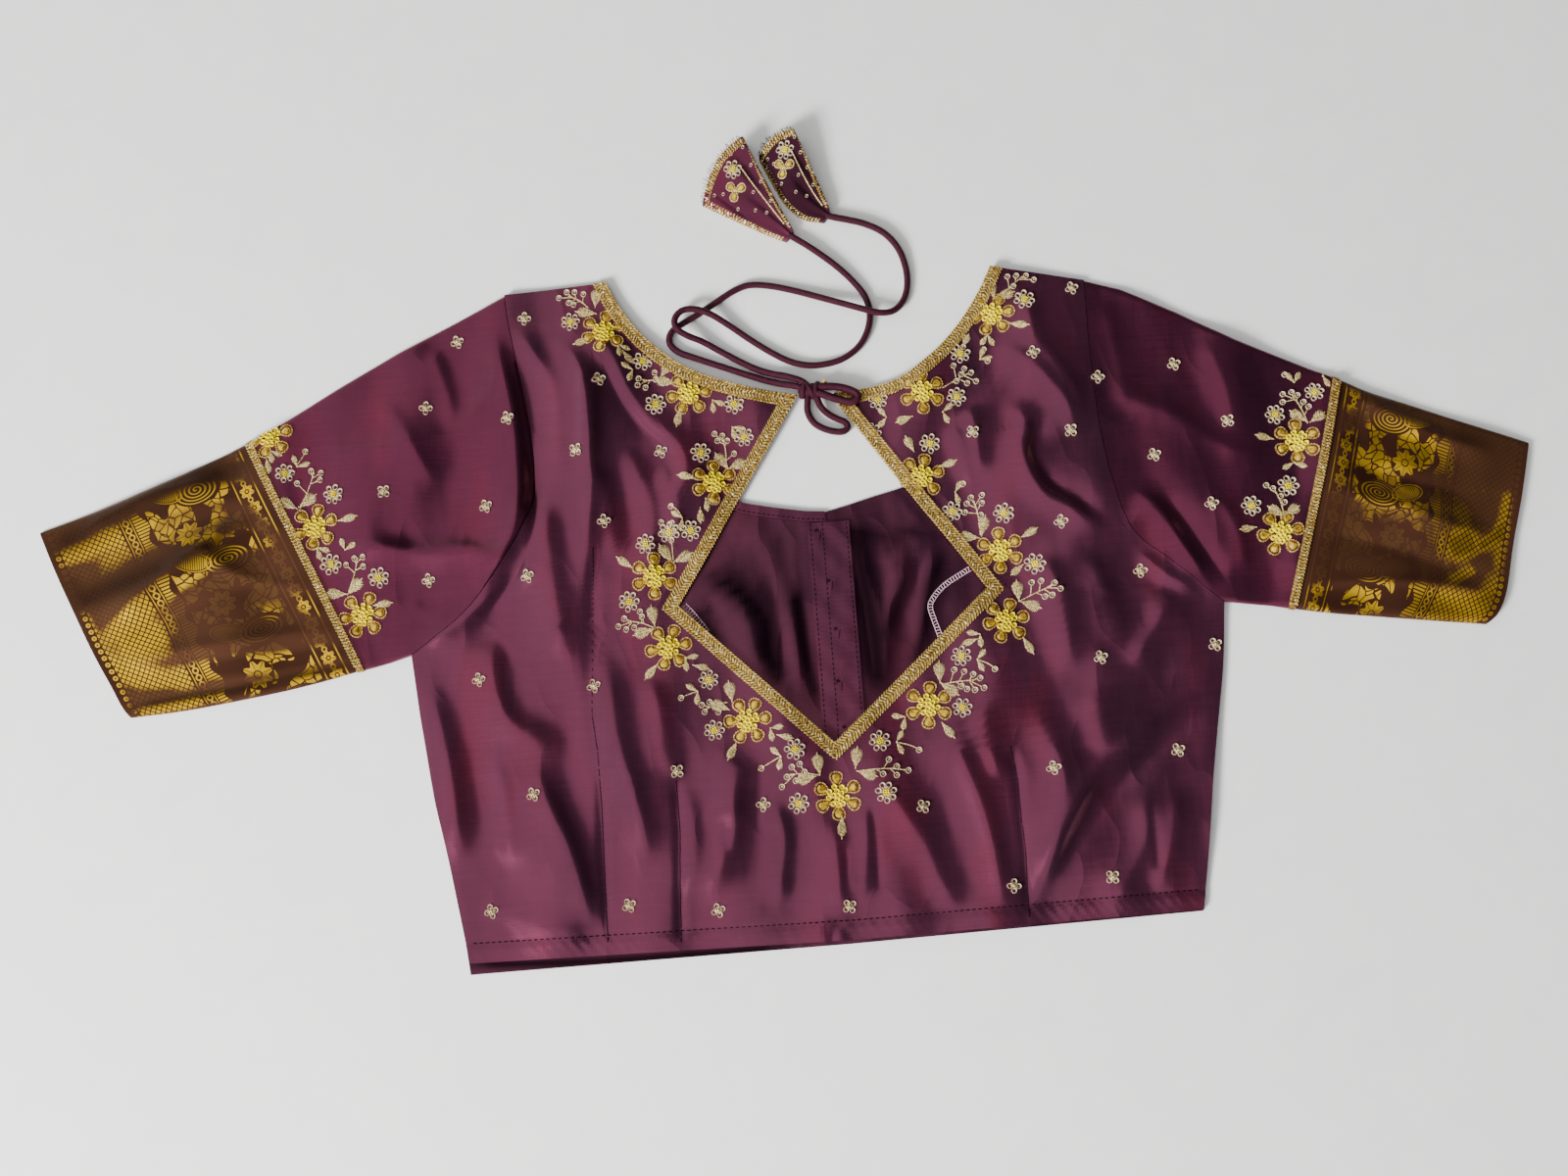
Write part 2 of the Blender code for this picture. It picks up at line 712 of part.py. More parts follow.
def make_cord(name, route):
    """A round cord along its route, with closed ends."""
    curve = bpy.data.curves.new(name, "CURVE")
    curve.dimensions = "3D"
    curve.bevel_depth = CORD_THICK / 2 * MM
    curve.bevel_resolution = 2
    curve.use_fill_caps = True
    points = smooth_route(route, CORD_POINT_GAP)
    spline = curve.splines.new("POLY")
    spline.points.add(len(points) - 1)
    for slot, point in zip(spline.points, points):
        slot.co = (*(point * MM), 1)
    return new_object(name, curve, "cord")


def make_knot():
    """The knot: a rounded lump, taller at its middle, with a waist where the cords wrap it."""
    mesh = bpy.data.meshes.new("knot")
    shape = bmesh.new()
    bmesh.ops.create_uvsphere(shape, u_segments=16, v_segments=8, radius=1.0)
    for corner in shape.verts:
        waist = 1 - 0.14 * math.cos(5 * corner.co.x)
        corner.co = Vector(
            (
                (KNOT["centre"][0] + KNOT["radii"][0] * corner.co.x) * MM,
                (KNOT["centre"][1] + KNOT["radii"][1] * waist * corner.co.y) * MM,
                (KNOT["centre"][2] + KNOT["radii"][2] * waist * corner.co.z) * MM,
            )
        )
    bmesh.ops.recalc_face_normals(shape, faces=shape.faces)
    shape.to_mesh(mesh)
    shape.free()
    mesh.shade_smooth()
    return new_object("knot", mesh, "cord")


def make_latkan(name):
    """A hanger: a flat cone of silk, open at its wide end, domed and flat where it rests."""
    rows = []
    domes = []
    table = LATKANS[name]
    stations = np.linspace(0, 1, LATKAN_STATIONS)
    high = along(smooth([row[:2] for row in table]), stations)
    low = along(smooth([row[2:4] for row in table]), stations)
    heights = np.interp(stations, np.linspace(0, 1, len(table)), [row[4] for row in table])
    axis = (high[-1] + low[-1] - high[0] - low[0]) / 2
    axis = axis / np.linalg.norm(axis)
    for s, high_point, low_point, height in zip(stations, high, low, heights):
        row = []
        dome = {}
        for t in np.linspace(0, 1, LATKAN_ACROSS):
            spot = high_point + (low_point - high_point) * t
            spot = spot + axis * LATKAN_BULGE[name] * s * math.sin(math.pi * t)
            row.append(spot)
            swell = math.sin(math.pi * t) ** LATKAN_FULLNESS
            dome[tuple(spot)] = FLAT_TOP + (height - FLAT_TOP) * swell
        rows.append(row)
        domes.append(dome)
    skins = []
    for grow in (0.0, -LACE_THICK):
        skins.append(
            [
                flat_ring(row, LATKAN_LIFT, grow, lambda x, y: dome[(x, y)])
                for row, dome in zip(rows, domes)
            ]
        )
    return tube(name, *skins, "silk")


for old in list(bpy.data.objects):
    bpy.data.objects.remove(old, do_unlink=True)
garment = bpy.data.collections.new("saree_blouse")
bpy.context.scene.collection.children.link(garment)

make_back()
make_back_laces()
for half in ("left", "right"):
    make_front(half)
    make_sleeve(half)
make_front_trim()
make_knot()
for cord_name, cord_route in {**CORD_ROUTES, **BOW_ROUTES}.items():
    make_cord(cord_name, cord_route)
for latkan_name in LATKANS:
    make_latkan(latkan_name)
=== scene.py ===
"""The looks of a silk saree blouse that lies flat, back side up.

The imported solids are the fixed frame. Finer pieces of the same shape replace them: thin walls
of satin with soft folds, gold lace made of stitches, flowers of stones, knots and sequins,
brocade borders, and two tie cords with their hangers.

All tables are in millimetres, seen from above: x to the right, y towards the neck. Left and
right are those of this view. Places with the columns photo_x and photo_y are points of the
1600 by 1200 view of this script's own camera, brought down onto the cloth.
"""

import math

import bpy
import numpy as np
from mathutils import Matrix, Vector


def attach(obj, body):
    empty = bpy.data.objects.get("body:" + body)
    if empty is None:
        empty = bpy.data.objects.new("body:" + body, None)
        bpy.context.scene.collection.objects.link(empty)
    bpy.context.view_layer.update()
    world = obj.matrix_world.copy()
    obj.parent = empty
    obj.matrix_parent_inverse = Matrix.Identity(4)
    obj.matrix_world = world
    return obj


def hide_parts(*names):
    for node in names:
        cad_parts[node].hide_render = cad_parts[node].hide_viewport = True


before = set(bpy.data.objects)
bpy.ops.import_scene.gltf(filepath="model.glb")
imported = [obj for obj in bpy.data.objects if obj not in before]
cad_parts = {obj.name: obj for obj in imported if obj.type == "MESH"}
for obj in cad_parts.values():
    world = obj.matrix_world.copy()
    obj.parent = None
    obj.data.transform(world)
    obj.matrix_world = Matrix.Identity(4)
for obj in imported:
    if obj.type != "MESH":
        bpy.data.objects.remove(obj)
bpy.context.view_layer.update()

MM = 0.001
SIDES = ("left", "right")
OUTWARDS = {"left": -1, "right": 1}

# The camera: a view from above, from the hem's side
VIEW_WIDE = 1600
VIEW_HIGH = 1200
LENS = 35.0
SENSOR = 36.0
CAMERA_TILT = math.radians(12)
CAMERA_ROLL = math.radians(4)
CAMERA_REACH = 871.0
CAMERA_TARGET = np.array([-6.889, 6.097, 0.0])

# Layers, from the floor up
CLOTH = 1.2
GAP = 0.3
SEAM_GAP = 0.4
LACE_THICK = 1.0
LACE_WIDE = 7.2
FRONT_TOP = CLOTH
FLAT_TOP = 2 * CLOTH + GAP
LACE_LIFT = LACE_THICK + GAP
LIFT_REACH = 14.0

# How finely the cloth is divided
ROW_STEPS = 9
BAND_STEPS = 2
BACK_COLUMNS = 130
BAND_COLUMNS = 5
FRONT_COLUMNS = 80
SLEEVE_STATIONS = 84
BORDER_STATIONS = 70
SLEEVE_ACROSS = 96
CURVE_STEPS = 8
HEIGHT_STEP = 1.0

# The back's two halves, a row for each section from the hem up: the point on the inner edge,
# the point on the outer edge, and whether the inner or the outer edge has a corner there
BACK_ROWS = {
    "left": [
        # inner_x, inner_y, outer_x, outer_y, inner_corner, outer_corner
        (16, -192, -191, -190, 1, 1), (16, -180, -193.2, -177.4, 0, 0),
        (16, -160, -197, -156, 0, 0), (15, -125, -203, -122, 0, 0), (15, -84.5, -208, -98, 1, 0),
        (-26, -43, -214, -58, 0, 0), (-67.5, -1, -219, -19, 1, 1), (-48, 29, -190, 2, 0, 0),
        (-29, 60, -163, 34, 0, 0), (-10, 90, -148, 62, 0, 0), (9, 120, -146, 84, 1, 0),
        (-22, 127, -147, 104, 0, 0), (-55, 141, -150, 127, 0, 0), (-78, 161, -154, 152, 0, 0),
        (-92, 181, -158, 176, 0, 0), (-100, 198, -160, 194, 1, 1),
    ],
    "right": [
        (16, -192, 209, -189, 1, 1), (16, -180, 211.3, -178, 0, 0), (16, -160, 215, -160, 0, 0),
        (15, -125, 222, -122, 0, 0), (15, -84.5, 228, -95, 1, 0), (62, -43.5, 237, -55, 0, 0),
        (108.5, -2.5, 242, -20, 1, 1), (88.5, 28, 214, 6, 0, 0), (68, 58, 194, 26, 0, 0),
        (48, 89, 186, 55, 0, 0), (28, 119, 183, 80, 1, 0), (64, 124, 182, 100, 0, 0),
        (86, 137, 182, 120, 0, 0), (104, 154, 182, 140, 0, 0), (119, 174, 183, 160, 0, 0),
        (129, 192, 184, 180, 1, 1),
    ],
}
KITE_BOTTOM_ROW = 4
UNDERARM_ROW = 6
TIE_ROW = 10

# The inner edges of the two fronts: the opening's line, then the front neck
OPENING = [
    # x, y, corner
    (16, -194, 1), (16.9, -180, 0), (18, -155, 0), (19, -115, 0), (20, -75, 0), (20, -20, 0),
    (20, 49, 1),
]
FRONT_INNER = {
    "left": [
        *OPENING,
        (8, 50, 0), (-8, 53, 0), (-26, 57, 0), (-42, 64, 0), (-58, 78, 0), (-70, 100, 0),
        (-82, 132, 0), (-92, 168, 0), (-100, 198, 1),
    ],
    "right": [
        *OPENING,
        (33, 52, 0), (48, 56, 0), (64, 60, 0), (80, 66, 0), (92, 80, 0), (102, 102, 0),
        (112, 132, 0), (121, 165, 0), (129, 192, 1),
    ],
}
FRONT_HEM_DROP = {"left": 6.0, "right": 0.8}
HEM_DROP_REACH = 34.0
PLACKET_WIDE = 24.0
PLACKET_OVERLAP = 13.0
BINDING_WIDE = 6.0
BINDING_FROM_ROW = 7
BINDING_TO_ROW = 10

# The folds that bound each flattened sleeve, as points (x, y): the silk's from the shoulder tip
# and from the underarm, then the border's, and the cuff's open edge
SLEEVE_TOP = {
    "left": [(-160, 194), (-190, 179), (-225, 162), (-263, 141), (-290, 125), (-313, 112)],
    "right": [(184, 180), (205, 173), (237, 156), (268, 137), (302, 120), (327, 107)],
}
SLEEVE_LOW = {
    "left": [(-219, -19), (-231, -22), (-240, -24), (-250, -26)],
    "right": [(242, -20), (256, -22), (269, -24), (282, -27)],
}
BORDER_TOP = {
    "left": [(-313, 112), (-340, 101), (-365, 91), (-400, 78), (-431, 68)],
    "right": [(327, 107), (345, 98), (362, 91), (397, 76), (431, 62)],
}
BORDER_LOW = {
    "left": [(-250, -26), (-280, -32), (-305, -36), (-345, -41), (-377, -43)],
    "right": [(282, -27), (305, -31), (326, -34), (360, -39), (389, -43)],
}
CUFF = {
    "left": [(-431, 68), (-417, 35), (-403, 5), (-389, -22), (-382, -36), (-377, -43)],
    "right": [(431, 62), (421, 30), (412, 4), (403, -24), (396, -37), (389, -43)],
}

# Broad rises of the cloth over the flat layers, one row for each
RISES = [
    # x, y, radius_x, radius_y, height
    (-110, -110, 80, 70, 3.2), (120, -115, 80, 70, 3.6), (15, -150, 45, 60, 2.4),
    (-40, 62, 26, 24, 2.6), (4, -96, 32, 26, 1.6), (-125, 30, 45, 70, 3.4),
    (160, 40, 45, 70, 3.4), (-125, 130, 35, 55, 3.0), (150, 120, 35, 55, 3.2),
    (-70, 125, 30, 26, 2.2), (92, 118, 28, 26, 2.4), (-235, 85, 45, 60, 5.0),
    (250, 75, 48, 60, 5.0), (-340, 35, 55, 50, 5.5), (345, 25, 55, 50, 5.5),
]

# The creases, one row for each: how far its flanks reach to the west and to the east of the
# line as it runs down the view, its height, and the line itself
CREASES = [
    # west, east, height, line of (photo_x, photo_y)
    (15, 11, 2.6, ((432, 688), (450, 742), (462, 800), (468, 850), (464, 890))),
    (12, 12, 1.0, ((478, 908), (520, 935), (570, 950), (612, 962))),
    (20, 9, 2.4, ((508, 640), (504, 690), (516, 730), (545, 752), (588, 760))),
    (14, 8, 2.6, ((544, 775), (562, 822), (584, 868), (600, 925), (604, 955))),
    (10, 12, 2.0, ((500, 760), (512, 800), (520, 850), (518, 890))),
    (12, 9, 2.2, ((624, 660), (628, 745), (646, 805), (658, 850), (660, 900))),
    (9, 7, 1.6, ((668, 690), (680, 760), (684, 800))),
    (9, 9, 1.1, ((700, 800), (708, 850), (706, 920))),
    (12, 10, 2.4, ((764, 750), (752, 806), (748, 850), (730, 900), (722, 930))),
    (10, 8, 1.8, ((782, 812), (800, 852), (794, 930))),
    (14, 10, 2.0, ((846, 830), (856, 880), (858, 940))),
    (12, 8, 1.6, ((884, 820), (884, 870), (880, 930))),
    (12, 14, 2.2, ((896, 796), (940, 852), (962, 900), (984, 940))),
    (10, 10, 2.4, ((962, 730), (986, 786), (1006, 836), (1020, 900), (1026, 938))),
    (7, 8, 1.8, ((1000, 716), (1012, 770), (1026, 800))),
    (10, 12, 2.2, ((1044, 700), (1070, 750), (1084, 800), (1066, 880), (1058, 930))),
    (12, 9, 3.2, ((1236, 704), (1196, 732), (1160, 756), (1120, 786), (1092, 830), (1070, 885),
        (1056, 920))),
    (9, 7, -1.6, ((1230, 722), (1170, 772), (1130, 812), (1092, 866), (1066, 915))),
    (12, 12, 1.8, ((1112, 700), (1122, 740), (1128, 770))),
    (16, 12, 2.0, ((1168, 800), (1170, 850), (1150, 900), (1130, 935))),
    (14, 9, 1.8, ((1200, 800), (1196, 860), (1180, 915))),
    (10, 10, 2.0, ((524, 330), (545, 362), (566, 398), (570, 440), (566, 500))),
    (12, 8, 2.6, ((556, 345), (584, 362), (596, 392), (602, 440), (604, 500), (600, 560),
        (598, 620))),
    (4, 4, 1.0, ((594, 368), (596, 420), (594, 480))),
    (4, 4, 1.0, ((600, 366), (602, 420), (602, 480))),
    (4, 4, 0.9, ((606, 370), (608, 420), (607, 470))),
    (13, 12, 2.6, ((590, 344), (622, 356), (640, 398), (662, 430), (688, 452), (698, 478),
        (694, 500), (676, 518))),
    (8, 7, -1.8, ((612, 360), (630, 400), (652, 432), (682, 462), (686, 492), (668, 516))),
    (12, 10, 2.2, ((636, 450), (656, 494), (666, 540), (660, 600))),
    (14, 10, 2.0, ((604, 470), (622, 520), (630, 580))),
    (12, 12, 2.2, ((552, 500), (560, 560), (566, 620), (580, 690))),
    (10, 8, 2.0, ((536, 500), (540, 560), (530, 610))),
    (12, 12, 2.2, ((1046, 290), (1054, 342), (1078, 372), (1098, 404), (1108, 440))),
    (20, 10, 2.6, ((1010, 350), (1050, 372), (1086, 412), (1100, 450))),
    (10, 9, 3.2, ((1020, 408), (1046, 430), (1044, 462), (1060, 498), (1088, 516), (1132, 544))),
    (8, 8, -2.0, ((1034, 420), (1056, 438), (1053, 464), (1070, 492), (1098, 510), (1136, 536))),
    (9, 10, 2.2, ((988, 410), (996, 450), (1000, 490))),
    (8, 9, 1.8, ((974, 430), (984, 470), (990, 500))),
    (10, 10, 2.2, ((1064, 560), (1082, 620), (1094, 690))),
    (14, 10, 2.0, ((1110, 560), (1130, 610), (1150, 660))),
    (12, 12, 2.2, ((1196, 600), (1180, 640), (1150, 680))),
    (9, 10, 2.0, ((676, 470), (690, 520), (690, 560))),
    (9, 9, 1.8, ((742, 760), (740, 800), (744, 850))),
    (12, 9, 1.5, ((323, 470), (365, 464), (408, 456), (440, 446), (473, 434), (494, 408),
        (500, 380))),
    (15, 6, 3.2, ((350, 560), (391, 559), (425, 563), (473, 560), (508, 566), (524, 548))),
    (17, 7, 4.2, ((500, 330), (520, 400), (528, 450), (531, 505), (522, 552), (498, 592),
        (462, 630))),
    (6, 6, -1.6, ((536, 440), (546, 500), (540, 560), (508, 612), (472, 645))),
    (9, 9, 1.3, ((384, 400), (424, 460), (450, 500))),
    (9, 9, 1.2, ((440, 350), (456, 400), (462, 440))),
    (9, 8, 2.2, ((520, 580), (490, 620), (452, 648), (424, 662))),
    (6, 5, 0.8, ((414, 610), (436, 626), (462, 632))),
    (6, 5, 0.5, ((420, 640), (440, 650), (468, 648))),
    (12, 10, 1.4, ((1124, 300), (1140, 360), (1150, 420))),
    (12, 9, 1.4, ((1122, 400), (1185, 418), (1240, 452), (1299, 474))),
    (9, 12, 1.0, ((1226, 340), (1250, 400), (1262, 450))),
    (22, 7, 3.4, ((1150, 496), (1180, 520), (1208, 560), (1238, 604))),
    (6, 6, -1.2, ((1176, 500), (1204, 524), (1230, 560), (1256, 600))),
    (9, 8, 1.4, ((1236, 500), (1262, 540), (1272, 590))),
    (8, 7, 1.2, ((1160, 560), (1190, 586), (1226, 604))),
    (7, 8, 2.8, ((64, 552), (118, 526), (170, 503), (240, 486))),
    (8, 8, -1.6, ((80, 590), (140, 560), (200, 532), (262, 520))),
    (8, 9, 3.0, ((96, 640), (150, 606), (184, 580), (226, 546), (270, 530))),
    (9, 9, -1.6, ((106, 660), (180, 630), (250, 600), (310, 580))),
    (9, 7, 2.4, ((112, 676), (190, 664), (280, 650), (352, 640))),
    (7, 7, 1.6, ((200, 560), (250, 590), (320, 600))),
    (8, 9, 2.6, ((1366, 400), (1420, 424), (1470, 448), (1530, 462))),
    (9, 8, -1.4, ((1366, 470), (1420, 486), (1480, 500), (1544, 506))),
    (9, 9, 2.2, ((1350, 500), (1420, 516), (1470, 536), (1540, 548))),
    (9, 8, -1.4, ((1340, 540), (1420, 560), (1480, 580), (1536, 584))),
    (8, 7, 2.4, ((1330, 596), (1400, 594), (1470, 598), (1530, 606))),
]
CREASE_TAPER = 0.26
CREASE_SCALE = 1.45
CREASE_CREST = 1.5
CREASE_STEEP = 1.5
CREASE_ROOM = 2.2

# Seams and darts, which pull the cloth down along a narrow line
SEAMS = [
    # half_width, depth, line of (photo_x, photo_y)
    (2.6, 1.0, ((606, 560), (605, 627), (604, 728), (610, 768), (614, 827), (617, 897),
        (620, 961))),
    (2.6, 1.2, ((690, 796), (694, 850), (694, 900), (695, 961))),
    (2.6, 1.2, ((1031, 762), (1038, 794), (1042, 835), (1046, 861), (1051, 936))),
    (2.6, 0.7, ((739, 772), (741, 820), (743, 877))),
    (2.6, 0.6, ((861, 861), (865, 914))),
    (2.6, 0.7, ((890, 819), (893, 860), (897, 906))),
    (2.6, 0.6, ((1173, 821), (1178, 850), (1183, 888))),
    (2.4, 1.8, ((128, 722), (150, 717), (219, 704), (290, 692), (367, 677))),
]

SEAMS_SEWN = 3
SEAM_TAPER = 12
SEAM_ROOM = 3

# Slow waves of the whole cloth: the way along which each rises and falls, its length, its
# height, and where it starts
WAVES = [
    # turn_degrees, wave_length, height, phase
    (12, 46, 0.50, 0.4), (-8, 61, 0.55, 2.1), (31, 83, 0.60, 4.0), (74, 97, 0.50, 1.0),
    (-38, 71, 0.45, 3.3),
]

# How far the waves' lines bend, and at what pace
BEND_BY_Y = 9
BEND_PACE_Y = 53
BEND_BY_X = 6
BEND_PACE_X = 41
# How sharply the cloth rests on the flat layers where it doesn't rise
REST_SHARP = 2.5

# The routes of the two tie cords, from the knot to the hanger: x, y, height of the middle
CORD_THICK = 4.0
CORD_REST = CORD_THICK / 2 + 0.1
CORD_ROUTES = {
    "cord_right": [
        (13.0, 122.6, 4.9), (8.0, 125.2, 4.4), (0, 127.6, 2.8), (-9, 130.6, CORD_REST),
        (-21, 135.4, CORD_REST), (-36, 141.6, CORD_REST), (-50, 147.6, CORD_REST),
        (-59, 151.8, CORD_REST), (-64, 157.6, CORD_REST), (-62.5, 164.6, CORD_REST),
        (-55.5, 169.4, CORD_REST), (-46, 174.6, CORD_REST), (-34, 182, CORD_REST),
        (-25, 187.4, CORD_REST), (-15, 190.8, CORD_REST), (-3, 189.6, CORD_REST),
        (11, 185.6, 2.4), (26, 179.8, 3.6), (40, 173.8, 5.8), (50, 169.6, 7.1), (60, 166.4, 6.8),
        (69, 167.6, 4.8), (75.5, 174, 3.0), (79, 184, CORD_REST), (79, 196, 2.2),
        (75.5, 208, 2.8), (68, 218, 3.2), (57.5, 224.4, 3.4), (47, 227.8, 3.7),
        (39.5, 229.8, 3.7), (34.4, 231.6, 3.7),
    ],
    "cord_left": [
        (16.0, 123.4, 5.2), (12.4, 127.4, 5.2), (3.4, 131.6, 4.0), (-6, 134.6, 2.6),
        (-16, 139, CORD_REST), (-27, 145.6, CORD_REST), (-36, 151.4, 2.4), (-45, 156.8, 4.0),
        (-53, 160, 6.2), (-59, 164.4, 7.0), (-60, 170.6, 7.0), (-55.4, 175.6, 7.0),
        (-47.5, 176, 6.9), (-38.5, 172.6, 5.6), (-28, 165.6, 3.4), (-17, 157, CORD_REST),
        (-5, 148, CORD_REST), (6, 141.4, CORD_REST), (17, 138.2, CORD_REST),
        (28, 138.4, CORD_REST), (38, 141.2, CORD_REST), (47, 147.6, CORD_REST),
        (53, 157, CORD_REST), (55.4, 168, CORD_REST), (53.4, 179, CORD_REST), (47, 189, 2.2),
        (39, 198, 2.6), (30.6, 205.6, 3.1), (22.2, 212.4, 3.7), (15.2, 217.6, 3.7),
        (11.2, 220.5, 3.7),
    ],
}
BOW_ROUTES = {
    "bow_loop_high": [
        (17.5, 123.4, 6.0), (24.4, 122.9, 6.7), (31, 122.4, 6.7), (38, 120.6, 6.6),
        (43.4, 117.4, 6.6), (43.6, 113.8, 6.6), (38.4, 112.6, 6.6), (31.4, 114.8, 6.6),
        (24.2, 118.0, 6.6), (18.2, 120.6, 5.8),
    ],
    "bow_loop_low": [
        (15.2, 120.4, 4.6), (14.5, 115.6, 4.0), (14.2, 109.4, 2.9), (16.8, 103.4, 2.2),
        (21.6, 99.4, CORD_REST), (28, 96.8, CORD_REST), (33.8, 96.2, CORD_REST),
        (37.0, 98.4, CORD_REST), (35.6, 101.8, CORD_REST), (30.6, 104.4, 2.2), (25.6, 107.6, 3.0),
        (22, 111.6, 4.2), (20.5, 115.6, 4.6), (18.6, 120.4, 5.0),
    ],
}
# The knot: its middle and that of its bead as x, y, height, and its turns of cord round a core
KNOT_CENTRE = (16.5, 121.8, 4.9)
KNOT_BEAD = (25.2, 126.0, 5.6)
KNOT_CORD = 4.2
KNOT_TURNS = [
    # shift, lean, wide, high
    (-3.9, 0.34, 3.1, 2.2), (-0.4, -0.55, 3.6, 2.3), (3.3, 0.42, 3.2, 2.2),
]
KNOT_CORE_LONG = 7.2
KNOT_CORE_THICK = 3.9
KNOT_CORE_BEND = 0.8
KNOT_CORE_TAPER = 0.98
BOW_THICK = {"bow_loop_high": 4.7, "bow_loop_low": CORD_THICK}

# The hangers: the high and the low fold from the tip to the open end, with the dome's height
LATKANS = {
    "latkan_left": [
        # high_x, high_y, low_x, low_y, dome
        (14.1, 222.8, 9.5, 217.2, 5.4), (9.2, 234, 0.0, 221.8, 7.0),
        (3.6, 247, -13.0, 229.0, 9.0), (-3.4, 264, -27.0, 237.0, 11.5),
        (-10.4, 283, -39.5, 244.4, 14.0),
    ],
    "latkan_right": [
        (36.7, 234.5, 32.9, 228.1, 5.4), (34.0, 245, 20.6, 231.4, 7.0),
        (29.8, 258, 10.4, 241.4, 9.0), (25.2, 271, 3.0, 256.6, 11.5),
        (20.4, 284, -3.6, 272.4, 14.0),
    ],
}
LATKAN_FULLNESS = 0.6
LATKAN_LIFT = 0.1
LATKAN_BULGE = {"latkan_left": 6.0, "latkan_right": 4.0}


# Curves

def curve_points(points, corners, steps):
    """Points along a smooth curve through the given ones, which breaks at each corner."""
    points = [np.array(point, float) for point in points]
    last = len(points) - 1
    found = []
    for index in range(last):
        here = points[index]
        there = points[index + 1]
        before = here if corners[index] or index == 0 else points[index - 1]
        after = there if corners[index + 1] or index + 1 == last else points[index + 2]
        slope_in = (there - before) / (1 if before is here else 2)
        slope_out = (after - here) / (1 if after is there else 2)
        for step in range(steps):
            t = step / steps
            found.append(
                (2 * t**3 - 3 * t**2 + 1) * here
                + (t**3 - 2 * t**2 + t) * slope_in
                + (3 * t**2 - 2 * t**3) * there
                + (t**3 - t**2) * slope_out
            )
    found.append(points[last])
    return found


def smooth(points, steps=CURVE_STEPS):
    """Points along a smooth curve with no corners."""
    return curve_points(points, [0] * len(points), steps)


def along(points, fractions):
    """Points at the given fractions of a polyline's length."""
    points = np.array(points, float)
    reach = np.concatenate([[0], np.cumsum(np.linalg.norm(np.diff(points, axis=0), axis=1))])
    wanted = np.array(fractions) * reach[-1]
    return np.column_stack([np.interp(wanted, reach, axis) for axis in points.T])


def length_of(points):
    return float(np.linalg.norm(np.diff(np.array(points, float), axis=0), axis=1).sum())


def evenly(points, gap):
    """Points at even gaps, close to the one wanted, along a polyline."""
    return along(points, np.linspace(0, 1, max(2, round(length_of(points) / gap) + 1)))


def unit(run):
    return run / np.linalg.norm(run)


def heading(turn):
    """The way of a turn in plan, one millimetre long."""
    return np.array([math.cos(turn), math.sin(turn)])


def turn_of(run):
    return math.atan2(run[1], run[0])


def left_of(ahead):
    return np.array([-ahead[1], ahead[0]])


def eased(share):
    """A share that starts and ends gently."""
    return share * share * (3 - 2 * share)


def offset_inwards(points, distance, side):
    """The line at a distance from a polyline, mitred at its corners; side is +1 for its left."""
    runs = [unit(there - here) for here, there in zip(points, points[1:])]
    moved = []
    for point, run_in, run_out in zip(points, runs[:1] + runs, runs + runs[-1:]):
        mitre = side * (left_of(run_in) + left_of(run_out))
        moved.append(point + mitre * 2 * distance / mitre.dot(mitre))
    return moved


# The camera, and the places that it sees

head = np.array([math.sin(CAMERA_ROLL), math.cos(CAMERA_ROLL), 0])
camera_right = np.array([math.cos(CAMERA_ROLL), -math.sin(CAMERA_ROLL), 0])
camera_ahead = head * math.sin(CAMERA_TILT) + np.array([0, 0, -math.cos(CAMERA_TILT)])
camera_up = np.cross(camera_right, camera_ahead)
camera_place = CAMERA_TARGET - camera_ahead * CAMERA_REACH


# How high over the floor the upper cloth is taken to be where the camera sees it
SEEN_HEIGHT = 5.0


def seen_at(photo_x, photo_y, height=SEEN_HEIGHT):
    """The place at a height, in millimetres, under a point of the 1600 by 1200 view."""
    focal = LENS / SENSOR * VIEW_WIDE
    ray = (
        camera_ahead
        + camera_right * (photo_x - VIEW_WIDE / 2) / focal
        - camera_up * (photo_y - VIEW_HIGH / 2) / focal
    )
    return (camera_place + ray * (height - camera_place[2]) / ray[2])[:2]


def make_camera():
    data = bpy.data.cameras.new("camera")
    data.lens = LENS
    data.sensor_width = SENSOR
    data.clip_start = 0.01
    data.clip_end = 20
    piece = bpy.data.objects.new("camera", data)
    axes = Matrix((camera_right, camera_up, -camera_ahead)).transposed().to_4x4()
    piece.matrix_world = Matrix.Translation(Vector(camera_place * MM)) @ axes
    bpy.context.scene.collection.objects.link(piece)
    bpy.context.scene.camera = piece


# Materials

class Value:
    """A node's output. Sums, products and comparisons with it add nodes of their own."""

    def __init__(self, finish, socket):
        self.finish = finish
        self.socket = socket

    def __add__(self, other):
        return self.finish.math("ADD", self, other)

    def __radd__(self, other):
        return self.finish.math("ADD", other, self)

    def __sub__(self, other):
        return self.finish.math("SUBTRACT", self, other)

    def __rsub__(self, other):
        return self.finish.math("SUBTRACT", other, self)

    def __mul__(self, other):
        return self.finish.math("MULTIPLY", self, other)

    def __truediv__(self, other):
        return self.finish.math("DIVIDE", self, other)

    def __gt__(self, other):
        return self.finish.math("GREATER_THAN", self, other)

    def __lt__(self, other):
        return self.finish.math("LESS_THAN", self, other)

    def __abs__(self):
        return self.finish.math("ABSOLUTE", self)


